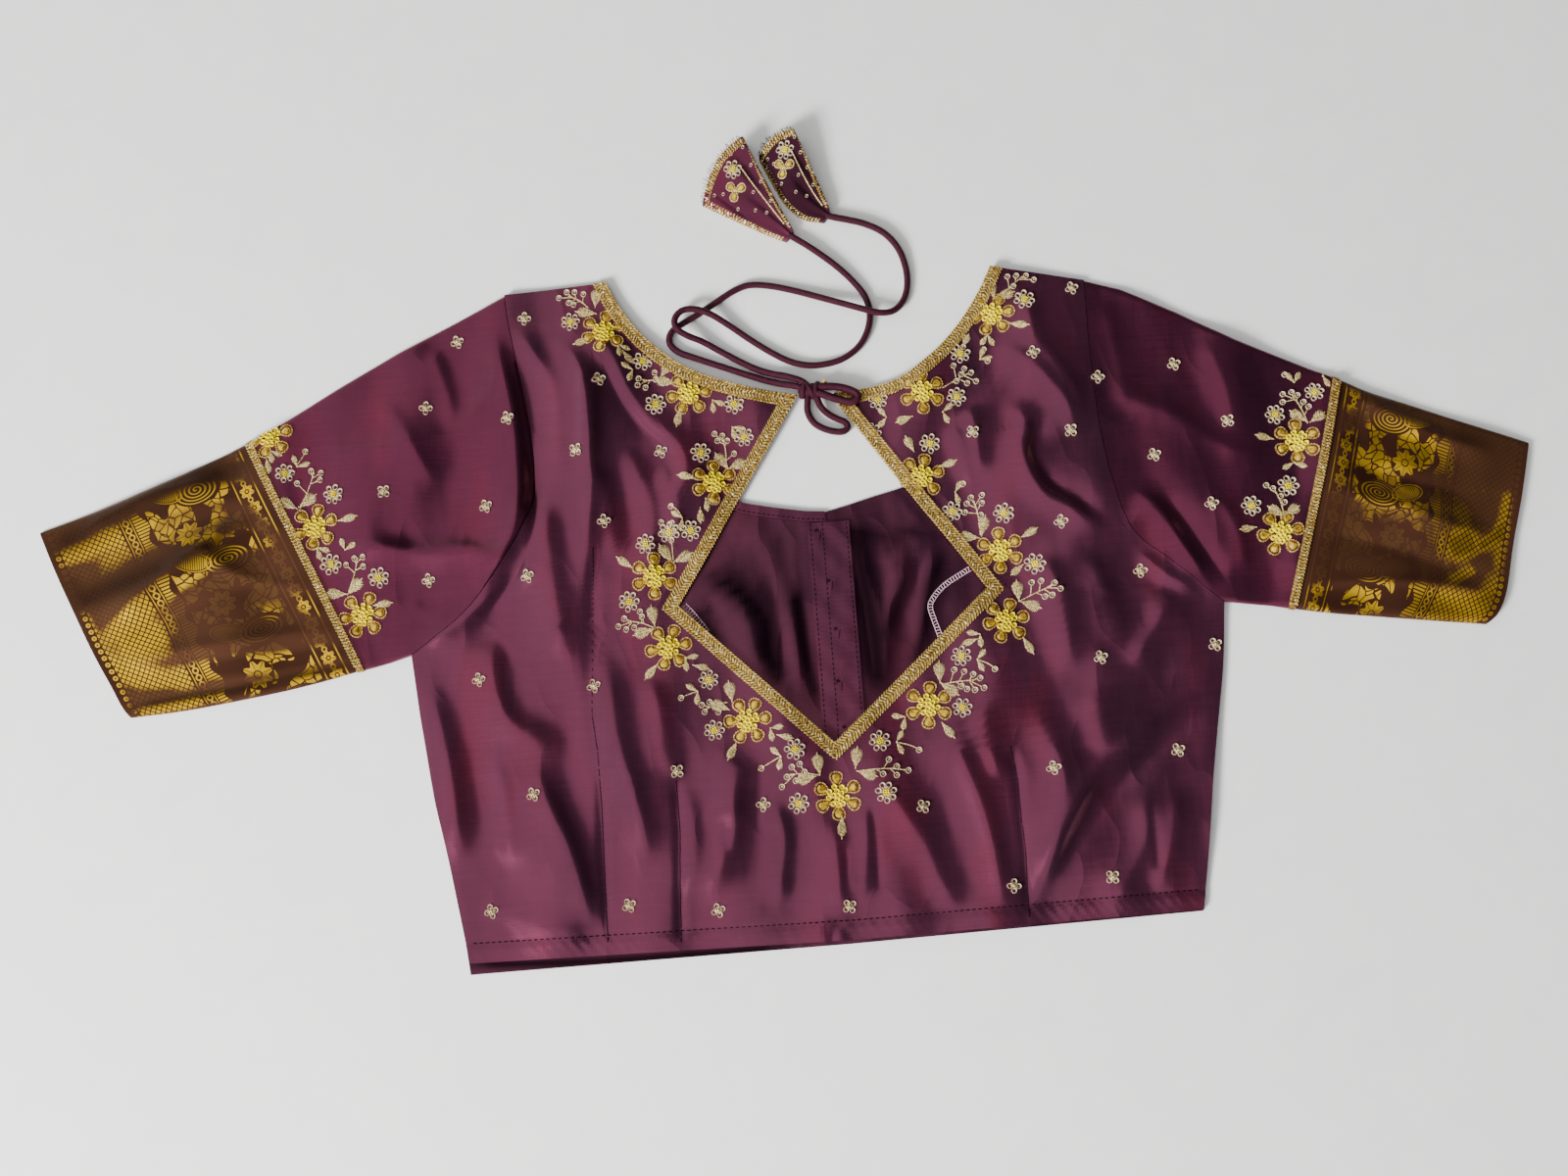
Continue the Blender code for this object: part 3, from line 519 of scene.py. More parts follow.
class Finish:
    """A material and the small steps that wire its nodes."""

    def __init__(self, name):
        self.material = bpy.data.materials.new(name)
        self.material.use_nodes = True
        self.tree = self.material.node_tree
        self.shader = self.tree.nodes["Principled BSDF"]

    def fill(self, node, inputs):
        """Link the node's inputs that are given as outputs, and set the others."""
        for key, value in inputs.items():
            if isinstance(value, Value):
                self.tree.links.new(value.socket, node.inputs[key])
            else:
                node.inputs[key].default_value = value

    def node(self, kind, inputs, **settings):
        made = self.tree.nodes.new(kind)
        for key, value in settings.items():
            setattr(made, key, value)
        self.fill(made, inputs)
        return made

    def out(self, kind, output, inputs, **settings):
        """One output of a new node."""
        return Value(self, self.node(kind, inputs, **settings).outputs[output])

    def math(self, operation, *values):
        return self.out("ShaderNodeMath", 0, dict(enumerate(values)), operation=operation)

    def uv(self, name):
        return self.out("ShaderNodeUVMap", "UV", {}, uv_map=name)

    def parts(self, pair):
        """The two numbers of a pair that the faces' corners carry."""
        split = self.node("ShaderNodeSeparateXYZ", {0: pair})
        return Value(self, split.outputs["X"]), Value(self, split.outputs["Y"])

    def place(self, scale=(1, 1, 1), turn=0.0):
        """The place on the object, scaled and turned about the vertical."""
        here = self.out("ShaderNodeTexCoord", "Object", {})
        inputs = {"Vector": here, "Scale": scale, "Rotation": (0, 0, turn)}
        return self.out("ShaderNodeMapping", 0, inputs)

    def noise(self, place, scale, detail=2.0, roughness=0.5):
        inputs = {"Vector": place, "Scale": scale, "Detail": detail, "Roughness": roughness}
        return self.out("ShaderNodeTexNoise", "Fac", inputs)

    def ramp(self, value, *stops):
        """A colour read off a value, from pairs of position and colour."""
        made = self.node("ShaderNodeValToRGB", {"Fac": value})
        elements = made.color_ramp.elements
        while len(elements) < len(stops):
            elements.new(0.5)
        for element, (position, colour) in zip(elements, stops):
            element.position = position
            element.color = (*colour, 1)
        return Value(self, made.outputs["Color"])

    def mix(self, share, first, second):
        inputs = {"Factor": share, "A": first, "B": second}
        return self.out("ShaderNodeMix", "Result", inputs, data_type="RGBA")

    def spread(self, value, low, high, to_low=0.0, to_high=1.0):
        ends = {"From Min": low, "From Max": high, "To Min": to_low, "To Max": to_high}
        return self.out("ShaderNodeMapRange", "Result", {"Value": value, **ends})

    def bump(self, height, distance, strength, under=None):
        inputs = {"Height": height, "Distance": distance, "Strength": strength}
        if under is not None:
            inputs["Normal"] = under
        return self.out("ShaderNodeBump", "Normal", inputs)


# The noises in the silk
SILK_NOISES = {
    # stretch, turn, scale, detail, roughness
    "tone": ((1, 0.35, 1), 0.1, 26, 3, 0.55),
    "drawn threads": ((16, 0.6, 1), 0.0, 90, 2, 0.6),
    "slubs": ((0.45, 8, 1), 0.0, 110, 3, 0.6),
    "soft crumples": ((1, 0.6, 1), 0.2, 55, 2, 0.45),
    "sharp crumples": ((1, 0.5, 1), -0.15, 34, 1, 0.4),
}
# Where the silk's three tones lie on its noise, and how far its threads make it darker or lighter
SILK_TONES_AT = (0.34, 0.54, 0.70)
SILK_SHADE = (0.80, 1.20)
SILK_ROUGHNESS = (0.20, 0.26)
SILK_SHEEN = {"Sheen Weight": 0.06, "Sheen Roughness": 0.4, "Sheen Tint": (0.9, 0.4, 0.55, 1)}
# The ribs of the weave, and the reliefs: each a distance in metres and a strength
RIBS = {"Scale": 420, "Distortion": 1.5, "Detail": 1.0}
RIB_BUMP = (0.00004, 0.5)
SOFT_BUMP = (0.0012, 0.26)
SHARP_BUMP = (0.0045, 0.45)
# The middle part of a noise, in which most of its values lie
NOISE_SPAN = (0.3, 0.7)
# Painted shade in the deepest folds: the near-black colour painted there, and the specular level on
# the open cloth and in the painted shade
PAINTED_FOLD_SHADE = (0.002, 0.001, 0.002, 1)
PAINTED_SHADE_GLEAM = (0.5, 0.06)


def silk_finish(name, dark, light, red, gloss, tint):
    """Satin with a shot weave: a dark ground under a rosy gleam, ribs, threads and crumples."""
    made = Finish(name)
    tone, streak, slub, soft, sharp = [
        made.noise(made.place(stretch, turn), *kind)
        for stretch, turn, *kind in SILK_NOISES.values()
    ]
    shade = made.spread(streak * 0.3 + slub * 0.7, *NOISE_SPAN, *SILK_SHADE)
    colour = made.ramp(tone, *zip(SILK_TONES_AT, (dark, light, red)))
    colour = made.out("ShaderNodeVectorMath", 0, {0: colour, "Scale": shade}, operation="SCALE")
    # Painted shade on the lining: its depth pair darkens the colour towards near black and lowers
    # the gloss along the deepest folds
    if name in PAINTED_SHADE_SILKS:
        depth, _ = made.parts(made.uv("depth"))
        gleam = made.spread(depth, 0, 1, *PAINTED_SHADE_GLEAM)
        made.fill(made.shader, {"Specular IOR Level": gleam})
        colour = made.mix(depth, colour, PAINTED_FOLD_SHADE)
    inputs = {"Vector": made.place(), **RIBS}
    rib = made.out("ShaderNodeTexWave", "Fac", inputs, bands_direction="Y")
    relief = made.bump(rib, *RIB_BUMP)
    relief = made.bump(soft, *SOFT_BUMP, relief)
    relief = made.bump(1.0 - abs(sharp - 0.5), *SHARP_BUMP, relief)
    made.fill(made.shader, {
        "Base Color": colour,
        "Roughness": made.spread(streak, *NOISE_SPAN, *SILK_ROUGHNESS),
        "Normal": relief,
        "Metallic": 0.2,
        "IOR": gloss,
        "Specular Tint": (*tint, 1),
        **SILK_SHEEN,
    })
    return made.material


def plain_finish(name, colour, shade, roughness, metallic, grain, depth, blend, more):
    """A finish with a fine grain: two tones, and a bump of the same grain."""
    made = Finish(name)
    grit = made.noise(made.place(), grain, 3, 0.6)
    made.fill(made.shader, {
        "Base Color": made.ramp(grit, (0.5 - blend, shade), (0.5 + blend, colour)),
        "Roughness": made.spread(grit, *NOISE_SPAN, roughness * 0.85, roughness * 1.15),
        "Metallic": metallic,
        "Normal": made.bump(grit, depth, 0.6),
        **more,
    })
    return made.material


# The woven pattern of the borders, in millimetres from the cuff inwards and along the cuff
LATTICE_PITCH = 3.7
LATTICE_GAP = 0.42
LATTICE = (6.6, 43.0)
RING_PITCH = 4.4
DOT_ROW = 4.4
DOT_REACH = (0.5, 1.5)
CHAIN_ROW = 47.4
CHAIN_RING = (1.5, 0.45)
CHAIN_DOT = 0.6
CHAIN_LINES = ((44.2, 44.8), (50.0, 50.6))
COMB_PITCH = 1.9
COMB_TOOTH = 0.6
COMB_FROM = 51.4
COMB_TO = 57.6
COMB_WAVE = (17.0, 1.8)
FIELD = (60.0, 109.0)
FIELD_PITCH = 46.0
# How the field's leaves wander: a wave's turn for each millimetre, and its height
WANDER_ACROSS = (0.35, 1.6)
WANDER_ALONG = (0.23, 2.0)
LEAF_CELLS = 0.19
LEAF_PATCHES = 0.055
LEAF_VEIN = 0.06
LEAF_FROM = 0.47
# The field's three figures: the row of each and its shift along the cuff
WHORL_PLACE = (92.0, 9.0)
BLOOM_PLACE = (78.0, 32.0)
DROP_PLACE = (74.0, 14.0)
WHORL_SQUASH = 1.6
WHORL_TURN = 2.7
WHORL_THREAD = 0.4
WHORL_REACH = 12.5
WHORL_ROOM = 14.0
BLOOM = (7.0, 8.0, 1.3)
BLOOM_ROOM = 9.0
DROP_LEAN = 0.35
DROP_SQUASH = 1.7
DROP_REACH = 8.0
DROP_RIM = (9.4, 0.5)
DROP_ROOM = 10.8
HATCH_PITCH = 1.3
HATCH_THREAD = 0.42
# The innermost row of flowers
ROW_PITCH = 11.0
ROW_AT = 117.4
ROW_FLOWER = (3.9, 6.0, 0.7)
ROW_RING = (1.3, 0.4)
ROW_LINES = ((111.0, 111.7), (123.0, 123.8))
ROW_BAND = (110.5, 126.0)
# A flower's vein, and where its eye is and how wide
PETAL_VEIN = 0.12
EYE_AT = 0.3
EYE_WIDE = 0.35
# The zari's colours, off the painted highlight and in it, each a pair between which a random mottle
# runs; the silk under it, off the painted highlight and in it; and the painted shade
ZARI_UNLIT = ((0.055, 0.025, 0.011, 1), (0.090, 0.041, 0.016, 1))
ZARI_PAINTED_LIT = ((0.76, 0.40, 0.010, 1), (0.94, 0.62, 0.030, 1))
ZARI_GROUND = ((0.040, 0.015, 0.009, 1), (0.026, 0.009, 0.006, 1))
ZARI_PAINTED_SHADE = (0.020, 0.008, 0.005, 1)


def brocade_finish():
    """Gold threads woven over dark silk: dots, a lattice, rings, a comb, blossoms and leaves, with
    painted highlight and painted shade in bands.
    """
    made = Finish("brocade")
    spot = made.uv("weave")
    across, inwards = made.parts(spot)
    u = across * 1000.0
    v = inwards * 1000.0

    def sine(value):
        return made.math("SINE", value)

    def band(low, high):
        return (v > low) * (v < high)

    def cell(value, pitch):
        """The signed distance to the middle of the repeat that a value is in."""
        return (made.math("FRACT", value / pitch) - 0.5) * pitch

    def repeat(pitch, row, shift=0.0):
        """The two signed distances to the middle of a row's nearest repeat."""
        return cell(u + shift if shift else u, pitch), v - row

    def far(x, y):
        return made.math("SQRT", made.math("POWER", x, 2.0) + made.math("POWER", y, 2.0))

    def ring(distance, radius, half):
        return abs(distance - radius) < half

    def blossom(spots, radius, petals, bite):
        """A round flower, notched between its petals and with an open eye."""
        x, y = spots
        reach = far(x, y)
        turn = made.math("ARCTAN2", y, x)
        whole = reach < radius + made.math("COSINE", turn * petals) * bite
        veins = abs(sine(turn * (petals / 2))) > PETAL_VEIN
        eye = abs(reach - radius * EYE_AT) > EYE_WIDE
        return whole * veins * eye

    def any_of(*masks):
        found = masks[0]
        for mask in masks[1:]:
            found = made.math("MAXIMUM", found, mask)
        return found

    rib = LATTICE_PITCH / 2 - LATTICE_GAP
    lattice = (abs(cell(u + v, LATTICE_PITCH)) < rib) * (abs(cell(u - v, LATTICE_PITCH)) < rib)
    dot = far(*repeat(RING_PITCH, DOT_ROW))
    chain = any_of(
        ring(far(*repeat(RING_PITCH, CHAIN_ROW)), *CHAIN_RING),
        far(*repeat(RING_PITCH, CHAIN_ROW, RING_PITCH / 2)) < CHAIN_DOT,
        *(band(*line) for line in CHAIN_LINES),
    )
    wave_length, wave_height = COMB_WAVE
    ends = COMB_TO + sine(u * (2 * math.pi / wave_length)) * wave_height
    comb = (abs(cell(u, COMB_PITCH)) < COMB_TOOTH) * (v > COMB_FROM) * (v < ends)

    pace_across, wide = WANDER_ACROSS
    pace_along, high = WANDER_ALONG
    wander = made.out("ShaderNodeCombineXYZ", 0, {
        0: u + sine(v * pace_across) * wide,
        1: v + sine(u * pace_along) * high,
    })
    petals = made.out("ShaderNodeTexVoronoi", "Distance", {"Vector": wander, "Scale": LEAF_CELLS},
                      feature="DISTANCE_TO_EDGE")
    leaves = (petals > LEAF_VEIN) * (made.noise(wander, LEAF_PATCHES, 1.0) > LEAF_FROM)
    whorl_x, whorl_y = repeat(FIELD_PITCH, *WHORL_PLACE)
    reach = far(whorl_x * WHORL_SQUASH, whorl_y)
    turn = made.math("ARCTAN2", whorl_y, whorl_x) / (2 * math.pi)
    whorl = made.math("FRACT", reach / WHORL_TURN + turn)
    spiral = (whorl < WHORL_THREAD) * (reach < WHORL_REACH)
    bloom_spots = repeat(FIELD_PITCH, *BLOOM_PLACE)
    drop_x, drop_y = repeat(FIELD_PITCH, *DROP_PLACE)
    drop = far((drop_x - drop_y * DROP_LEAN) * DROP_SQUASH, drop_y)
    hatch = abs(cell(u * 0.5 + v, HATCH_PITCH)) < HATCH_THREAD
    paisley = any_of((drop < DROP_REACH) * hatch, ring(drop, *DROP_RIM))
    room = (far(*bloom_spots) > BLOOM_ROOM) * (drop > DROP_ROOM)
    sprays = leaves * (reach > WHORL_ROOM) * room
    inner_row = any_of(
        blossom(repeat(ROW_PITCH, ROW_AT), *ROW_FLOWER),
        ring(far(*repeat(ROW_PITCH, ROW_AT, ROW_PITCH / 2)), *ROW_RING),
        *(band(*line) for line in ROW_LINES),
    )
    gold = any_of(
        lattice * band(*LATTICE),
        (dot < DOT_REACH[1]) * (dot > DOT_REACH[0]),
        chain,
        comb,
        any_of(sprays, spiral, blossom(bloom_spots, *BLOOM), paisley) * band(*FIELD),
        inner_row * band(*ROW_BAND),
    )

    # Painted highlight and painted shade: the gleam pair makes the gold bright yellow and more
    # metallic where it is painted lit, and darkens everything where it is painted dim
    gleam, painted_dim = made.parts(made.uv("gleam"))
    mottle_and_gleam_edge = made.noise(spot, 60, 3, 0.6)
    painted_lit = made.spread(gleam + (mottle_and_gleam_edge - 0.5) * 0.5, 0.12, 0.7)
    zari = made.mix(painted_lit, made.mix(mottle_and_gleam_edge, *ZARI_UNLIT), made.mix(mottle_and_gleam_edge, *ZARI_PAINTED_LIT))
    colour = made.mix(gold, made.mix(painted_lit, *ZARI_GROUND), zari)
    weave_inputs = {"Vector": made.place((1, 1, 1), 0.3), "Scale": 700}
    weave = made.out("ShaderNodeTexWave", "Fac", weave_inputs, bands_direction="X")
    made.fill(made.shader, {
        "Base Color": made.mix(painted_dim, colour, ZARI_PAINTED_SHADE),
        "Metallic": gold * made.spread(painted_lit, 0, 1, 0.30, 0.92),
        "Roughness": made.spread(gold, 0, 1, 0.42, 0.30),
        "IOR": 1.3,
        "Specular Tint": (0.9, 0.5, 0.2, 1),
        "Normal": made.bump(gold, 0.00012, 0.5, made.bump(weave, 0.00003, 0.4)),
    })
    return made.material


# The silks; the lining is darker than the silk, partly as the fronts' own cloth and partly as
# painted shade on the fronts under the back, and it also has painted shade, darker and less glossy,
# along its deepest folds
SILKS = {
    # dark, light, red, gloss, tint
    "silk": ((0.026, 0.0083, 0.018), (0.044, 0.011, 0.024),
        (0.062, 0.009, 0.021), 2.15, (1.0, 0.25, 0.42)),
    "sleeve_silk": ((0.022, 0.006, 0.014), (0.038, 0.008, 0.019),
        (0.055, 0.007, 0.017), 1.98, (1.0, 0.2, 0.37)),
    # A darker copy of the silk: painted shadow on the right hanger
    "painted_shadow_silk": ((0.008, 0.003, 0.006), (0.015, 0.004, 0.009),
        (0.022, 0.004, 0.008), 1.55, (1.0, 0.25, 0.42)),
    "lining": ((0.014, 0.005, 0.011), (0.024, 0.0065, 0.0145),
        (0.030, 0.0055, 0.013), 1.95, (1.0, 0.28, 0.45)),
    "facing": ((0.027, 0.008, 0.018), (0.042, 0.011, 0.024),
        (0.052, 0.010, 0.022), 1.8, (1.0, 0.28, 0.45)),
}
PAINTED_SHADE_SILKS = ("lining",)
PLAINS = {
    # colour, shade, roughness, metallic, grain, depth, blend, more of the shader's inputs
    "dori": ((0.050, 0.007, 0.018),
        (0.024, 0.004, 0.010), 0.42, 0.1, 500, 0.00012, 0.2, {"Specular IOR Level": 0.22}),
    "gold_lace": ((1.0, 0.76, 0.27), (0.46, 0.28, 0.05), 0.26, 0.7, 620, 0.0003, 0.07, {}),
    "lace_ground": ((0.36, 0.22, 0.05), (0.12, 0.062, 0.015), 0.4, 0.6, 700, 0.0003, 0.08, {}),
    "gold_thread": ((1.0, 0.86, 0.44), (0.46, 0.33, 0.10), 0.28, 0.35, 900, 0.0001, 0.1, {}),
    "amber_stone": ((0.84, 0.58, 0.06),
        (0.36, 0.20, 0.01), 0.14, 0.65, 420, 0.00006, 0.1, {"Coat Weight": 0.4}),
    "white_sequin": ((0.96, 0.86, 0.62),
        (0.66, 0.55, 0.34), 0.18, 0.5, 700, 0.00005, 0.12, {"Coat Weight": 0.2}),
    "yellow_thread": ((0.98, 0.84, 0.0),
        (0.64, 0.50, 0.0), 0.75, 0.0, 1200, 0.0002, 0.1, {"Specular IOR Level": 0.1}),
    "dark_thread": ((0.014, 0.004, 0.008),
        (0.007, 0.002, 0.004), 0.6, 0.0, 900, 0.0001, 0.2, {"Specular IOR Level": 0.08}),
    "overlock_thread": ((0.74, 0.52, 0.58), (0.50, 0.30, 0.37), 0.6, 0.0, 1600, 0.0001, 0.2, {}),
    "floor": ((0.93, 0.925, 0.91), (0.90, 0.895, 0.885), 0.9, 0.0, 40, 0.0001, 0.2, {}),
}
FINISHES = {name: silk_finish(name, *row) for name, row in SILKS.items()}
FINISHES.update({name: plain_finish(name, *row) for name, row in PLAINS.items()})
FINISHES["brocade"] = brocade_finish()


# Pieces

def add_piece(name, data, material, slot, *nodes):
    data.materials.append(material)
    piece = bpy.data.objects.new(name, data)
    bpy.context.scene.collection.objects.link(piece)
    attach(piece, "root")
    if nodes:
        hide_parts(*nodes)
    return piece


def mesh_from(name, points, faces, sharp=60):
    mesh = bpy.data.meshes.new(name)
    mesh.from_pydata((np.array(points, float) * MM).tolist(), [], [list(face) for face in faces])
    mesh.update()
    mesh.shade_smooth()
    mesh.set_sharp_from_angle(angle=math.radians(sharp))
    return mesh


def add_place(mesh, name, values):
    """A pair of numbers at each corner of the faces, read by the material."""
    layer = mesh.uv_layers.new(name=name)
    corners = np.zeros(len(mesh.loops), dtype=np.int32)
    mesh.loops.foreach_get("vertex_index", corners)
    layer.data.foreach_set("uv", np.array(values, float)[corners].ravel())


def closed_wall(points, faces, thickness):
    """A surface and its copy pushed down by a thickness, joined along the open edges."""
    points = np.array(points, float)
    count = len(points)
    below = points.copy()
    below[:, 2] -= thickness
    edges = {}
    for face in faces:
        for a, b in zip(face, list(face[1:]) + [face[0]]):
            if (b, a) in edges:
                del edges[(b, a)]
            else:
                edges[(a, b)] = True
    walls = [(a, a + count, b + count, b) for a, b in edges]
    under = [tuple(index + count for index in reversed(face)) for face in faces]
    return np.vstack([points, below]), list(faces) + under + walls


def grid_faces(rows, columns):
    """The faces of a grid of points that is so many faces high and wide."""
    wide = columns + 1
    corners = [row * wide + column for row in range(rows) for column in range(columns)]
    return [(at, at + 1, at + wide + 1, at + wide) for at in corners]


def faces_round(pairs, count):
    """The faces between pairs of rings, each given by its first point, of a count of points."""
    return [
        (low + at, low + (at + 1) % count, high + (at + 1) % count, high + at)
        for low, high in pairs
        for at in range(count)
    ]


def facing_up(points, faces):
    """The faces with their corners in the order that makes them look up."""
    points = np.array(points, float)
    turned = []
    for face in faces:
        a, b, c = points[face[0]], points[face[1]], points[face[2]]
        up = (b[0] - a[0]) * (c[1] - a[1]) - (b[1] - a[1]) * (c[0] - a[0])
        turned.append(tuple(face) if up > 0 else tuple(reversed(face)))
    return turned


# The height of the cloth

def line_field(x, y, points):
    """The distance to a polyline, the share of its length at the nearest point, and the side."""
    lengths = np.linalg.norm(np.diff(points, axis=0), axis=1)
    total = lengths.sum()
    best = np.full(x.shape, 1e9)
    share = np.zeros(x.shape)
    side = np.zeros(x.shape)
    passed = 0.0
    for a, b, length in zip(points, points[1:], lengths):
        ahead = (b - a) / length
        run = np.clip((x - a[0]) * ahead[0] + (y - a[1]) * ahead[1], 0, length)
        gap = np.hypot(x - a[0] - run * ahead[0], y - a[1] - run * ahead[1])
        nearer = gap < best
        best = np.where(nearer, gap, best)
        share = np.where(nearer, (passed + run) / total, share)
        side = np.where(nearer, ahead[0] * (y - a[1]) - ahead[1] * (x - a[0]), side)
        passed += length
    return best, share, side


def around(x, y, points, reach):
    """Which spots are in the box round a polyline, widened by a reach."""
    low = points.min(axis=0) - reach
    high = points.max(axis=0) + reach
    return (x > low[0]) & (x < high[0]) & (y > low[1]) & (y < high[1])


# A band's strength at its ends, and how fast it grows from there
BAND_END = 0.35
BAND_TAPER = 7


def bands_at(table, spots, height_seen=SEEN_HEIGHT):
    """The strength of soft bands along lines at plan points: of those above nought, then below."""
    found = np.zeros((2, len(spots)))
    for reach, strength, line in table:
        points = np.array(smooth([seen_at(*place, height_seen) for place in line], 3))
        gap, share, _ = line_field(spots[:, 0], spots[:, 1], points)
        ends = np.clip(np.minimum(share, 1 - share) * BAND_TAPER + BAND_END, 0, 1)
        found[0 if strength > 0 else 1] += abs(strength) * ends * np.exp(-((gap / reach) ** 2))
    return np.clip(found, 0, 1).T


def add_crease(rise, x, y, crease, height_seen):
    """Add a rounded fold along a line, with its own reach on either side and tapered ends."""
    west, east, height, line = crease
    points = np.array(smooth([seen_at(*place, height_seen) for place in line], 4))
    inside = around(x, y, points, CREASE_ROOM * max(west, east))
    gap, share, side = line_field(x[inside], y[inside], points)
    reach = np.where(side > 0, east, west)
    ends = np.minimum(share, 1 - share) / CREASE_TAPER
    taper = np.sin(math.pi / 2 * np.clip(ends, 0, 1)) ** 2
    flank = np.exp(-CREASE_STEEP * (gap / reach) ** CREASE_CREST)
    rise[inside] += CREASE_SCALE * height * taper * flank


def cloth_top(x, y):
    """The height of the cloth's upper surface over the floor, where it lies free."""
    rise = np.zeros(x.shape)
    for mid_x, mid_y, radius_x, radius_y, height in RISES:
        rise += height * np.exp(-(((x - mid_x) / radius_x) ** 2) - ((y - mid_y) / radius_y) ** 2)
    for crease in CREASES:
        add_crease(rise, x, y, crease, SEEN_HEIGHT)
    for turn, wave_length, height, phase in WAVES:
        way = math.radians(turn)
        bend = BEND_BY_Y * np.sin(y / BEND_PACE_Y + phase)
        bend += BEND_BY_X * np.sin(x / BEND_PACE_X - phase)
        along_wave = x * math.cos(way) + y * math.sin(way) + bend
        rise += height * np.sin(2 * math.pi * along_wave / wave_length + phase)
    rise = np.logaddexp(0, rise * REST_SHARP) / REST_SHARP
    for half_width, depth, line in SEAMS:
        points = np.array([seen_at(*place) for place in line])
        inside = around(x, y, points, SEAM_ROOM * half_width)
        gap, share, _ = line_field(x[inside], y[inside], points)
        ends = np.clip(np.minimum(share, 1 - share) * SEAM_TAPER, 0, 1)
        room = np.clip(rise[inside], 0, 1)
        rise[inside] -= depth * ends * np.exp(-((gap / half_width) ** 2)) * room
    return FLAT_TOP + np.maximum(0.0, rise) + hem_relief(x, y)


# The turned hem: how deep it is, the groove at its stitches, and the puckers below them
HEM_DEPTH = 10.5
HEM_GROOVE = 0.5
HEM_GROOVE_HALF = 1.3
HEM_PUCKER = 0.34
HEM_PUCKER_ABOVE = 4
HEM_PUCKER_HALF = 4.2
HEM_PUCKER_PITCH = 5.6
HEM_PUCKER_LEAN = 0.9
HEM_REACH = 16


def hem_relief(x, y):
    """The back's turned hem: a groove where it is sewn, and short slanting puckers below it."""
    relief = np.zeros(x.shape)
    for side in SIDES:
        line = np.array([BACK_ROWS[side][0][:2], BACK_ROWS[side][0][2:4]], float)
        inside = around(x, y, line, HEM_REACH)
        gap, _, _ = line_field(x[inside], y[inside], line)
        slant = x[inside] + HEM_PUCKER_LEAN * gap
        pucker = np.sin(2 * math.pi * slant / HEM_PUCKER_PITCH + 1.9 * np.sin(slant / 13))
        pucker *= 0.6 + 0.4 * np.sin(slant / 21 + 0.6)
        near = np.exp(-(((gap - HEM_DEPTH + HEM_PUCKER_ABOVE) / HEM_PUCKER_HALF) ** 2))
        groove = np.exp(-(((gap - HEM_DEPTH) / HEM_GROOVE_HALF) ** 2))
        relief[inside] = HEM_PUCKER * (1 + pucker) * near - HEM_GROOVE * groove
    return relief


def lace_lift(gap):
    """How far the silk is lifted at a distance from the lace round a sleeve."""
    return LACE_LIFT * eased(np.clip(1 - gap / LIFT_REACH, 0, 1))


def cloth_height(x, y):
    """The height of the cloth's upper surface: the solids' own, and the lift at the sleeve lace."""
    high = cloth_top(x, y)
    for side in SIDES:
        seam = np.array([SLEEVE_TOP[side][-1], SLEEVE_LOW[side][-1]], float)
        gap, _, _ = line_field(x, y, seam)
        high = high + lace_lift(gap - LACE_WIDE / 2)
    return high


GRID_LOW = (-440.0, -210.0)
GRID_HIGH = (440.0, 210.0)
grid_x = np.arange(GRID_LOW[0], GRID_HIGH[0] + HEIGHT_STEP, HEIGHT_STEP)
grid_y = np.arange(GRID_LOW[1], GRID_HIGH[1] + HEIGHT_STEP, HEIGHT_STEP)
height_map = cloth_height(*np.meshgrid(grid_x, grid_y))


def height_at(spots):
    """The cloth's height at plan points, read between the steps of the height map."""
    spots = np.array(spots, float)
    across = np.clip((spots[..., 0] - GRID_LOW[0]) / HEIGHT_STEP, 0, len(grid_x) - 1.001)
    up = np.clip((spots[..., 1] - GRID_LOW[1]) / HEIGHT_STEP, 0, len(grid_y) - 1.001)
    column = across.astype(int)
    row = up.astype(int)
    tx = across - column
    ty = up - row
    low, high = (
        height_map[at, column] * (1 - tx) + height_map[at, column + 1] * tx for at in (row, row + 1)
    )
    return low * (1 - ty) + high * ty


def flat_at(height):
    """A reader that gives the same height everywhere."""
    return lambda spots: np.full(spots.shape[:-1], height)


# Cords, knot and bow

def cord_curve(name, routes, thickness):
    """Round cords along their routes, one spline for each."""
    curve = bpy.data.curves.new(name, "CURVE")
    curve.dimensions = "3D"
    curve.bevel_depth = thickness / 2 * MM
    curve.bevel_resolution = 3
    curve.use_fill_caps = True
    for points in routes:
        spline = curve.splines.new("POLY")
        spline.points.add(len(points) - 1)
        for slot, point in zip(spline.points, points):
            slot.co = (*(np.array(point) * MM), 1)
        spline.use_smooth = True
    return curve


def make_cord(name, route, closeness, thickness):
    """A cord along a smooth curve through its route's points, and the curve's own points."""
    points = evenly(smooth(route, 6), closeness)
    curve = cord_curve(name, [points], thickness)
    return add_piece(name, curve, FINISHES["dori"], "dori", name), points


def make_knot():
    """The knot: turns of cord round a plump core, tilted both ways."""
    centre = np.array(KNOT_CENTRE)
    turns = []
    for shift, lean, wide, high in KNOT_TURNS:
        ring = []
        for angle in np.linspace(0, 2 * math.pi, 25):
            across = wide * math.cos(angle)
            ring.append(centre + np.array([shift + lean * across, across, high * math.sin(angle)]))
        turns.append(ring)
    places = np.linspace(-1, 1, 17)
    core = [
        (KNOT_CORE_LONG * place, KNOT_CORE_BEND * math.sin(place * 3), 0) for place in places
    ]
    turns.append(list(centre + np.array(core)))
    curve = cord_curve("knot", turns, KNOT_CORD)
    for slot, place in zip(curve.splines[-1].points, places):
        round_off = math.sqrt(1 - min(place * place, KNOT_CORE_TAPER))
        slot.radius = KNOT_CORE_THICK / (KNOT_CORD / 2) * round_off
    add_piece("knot", curve, FINISHES["dori"], "dori", "knot")


# The body

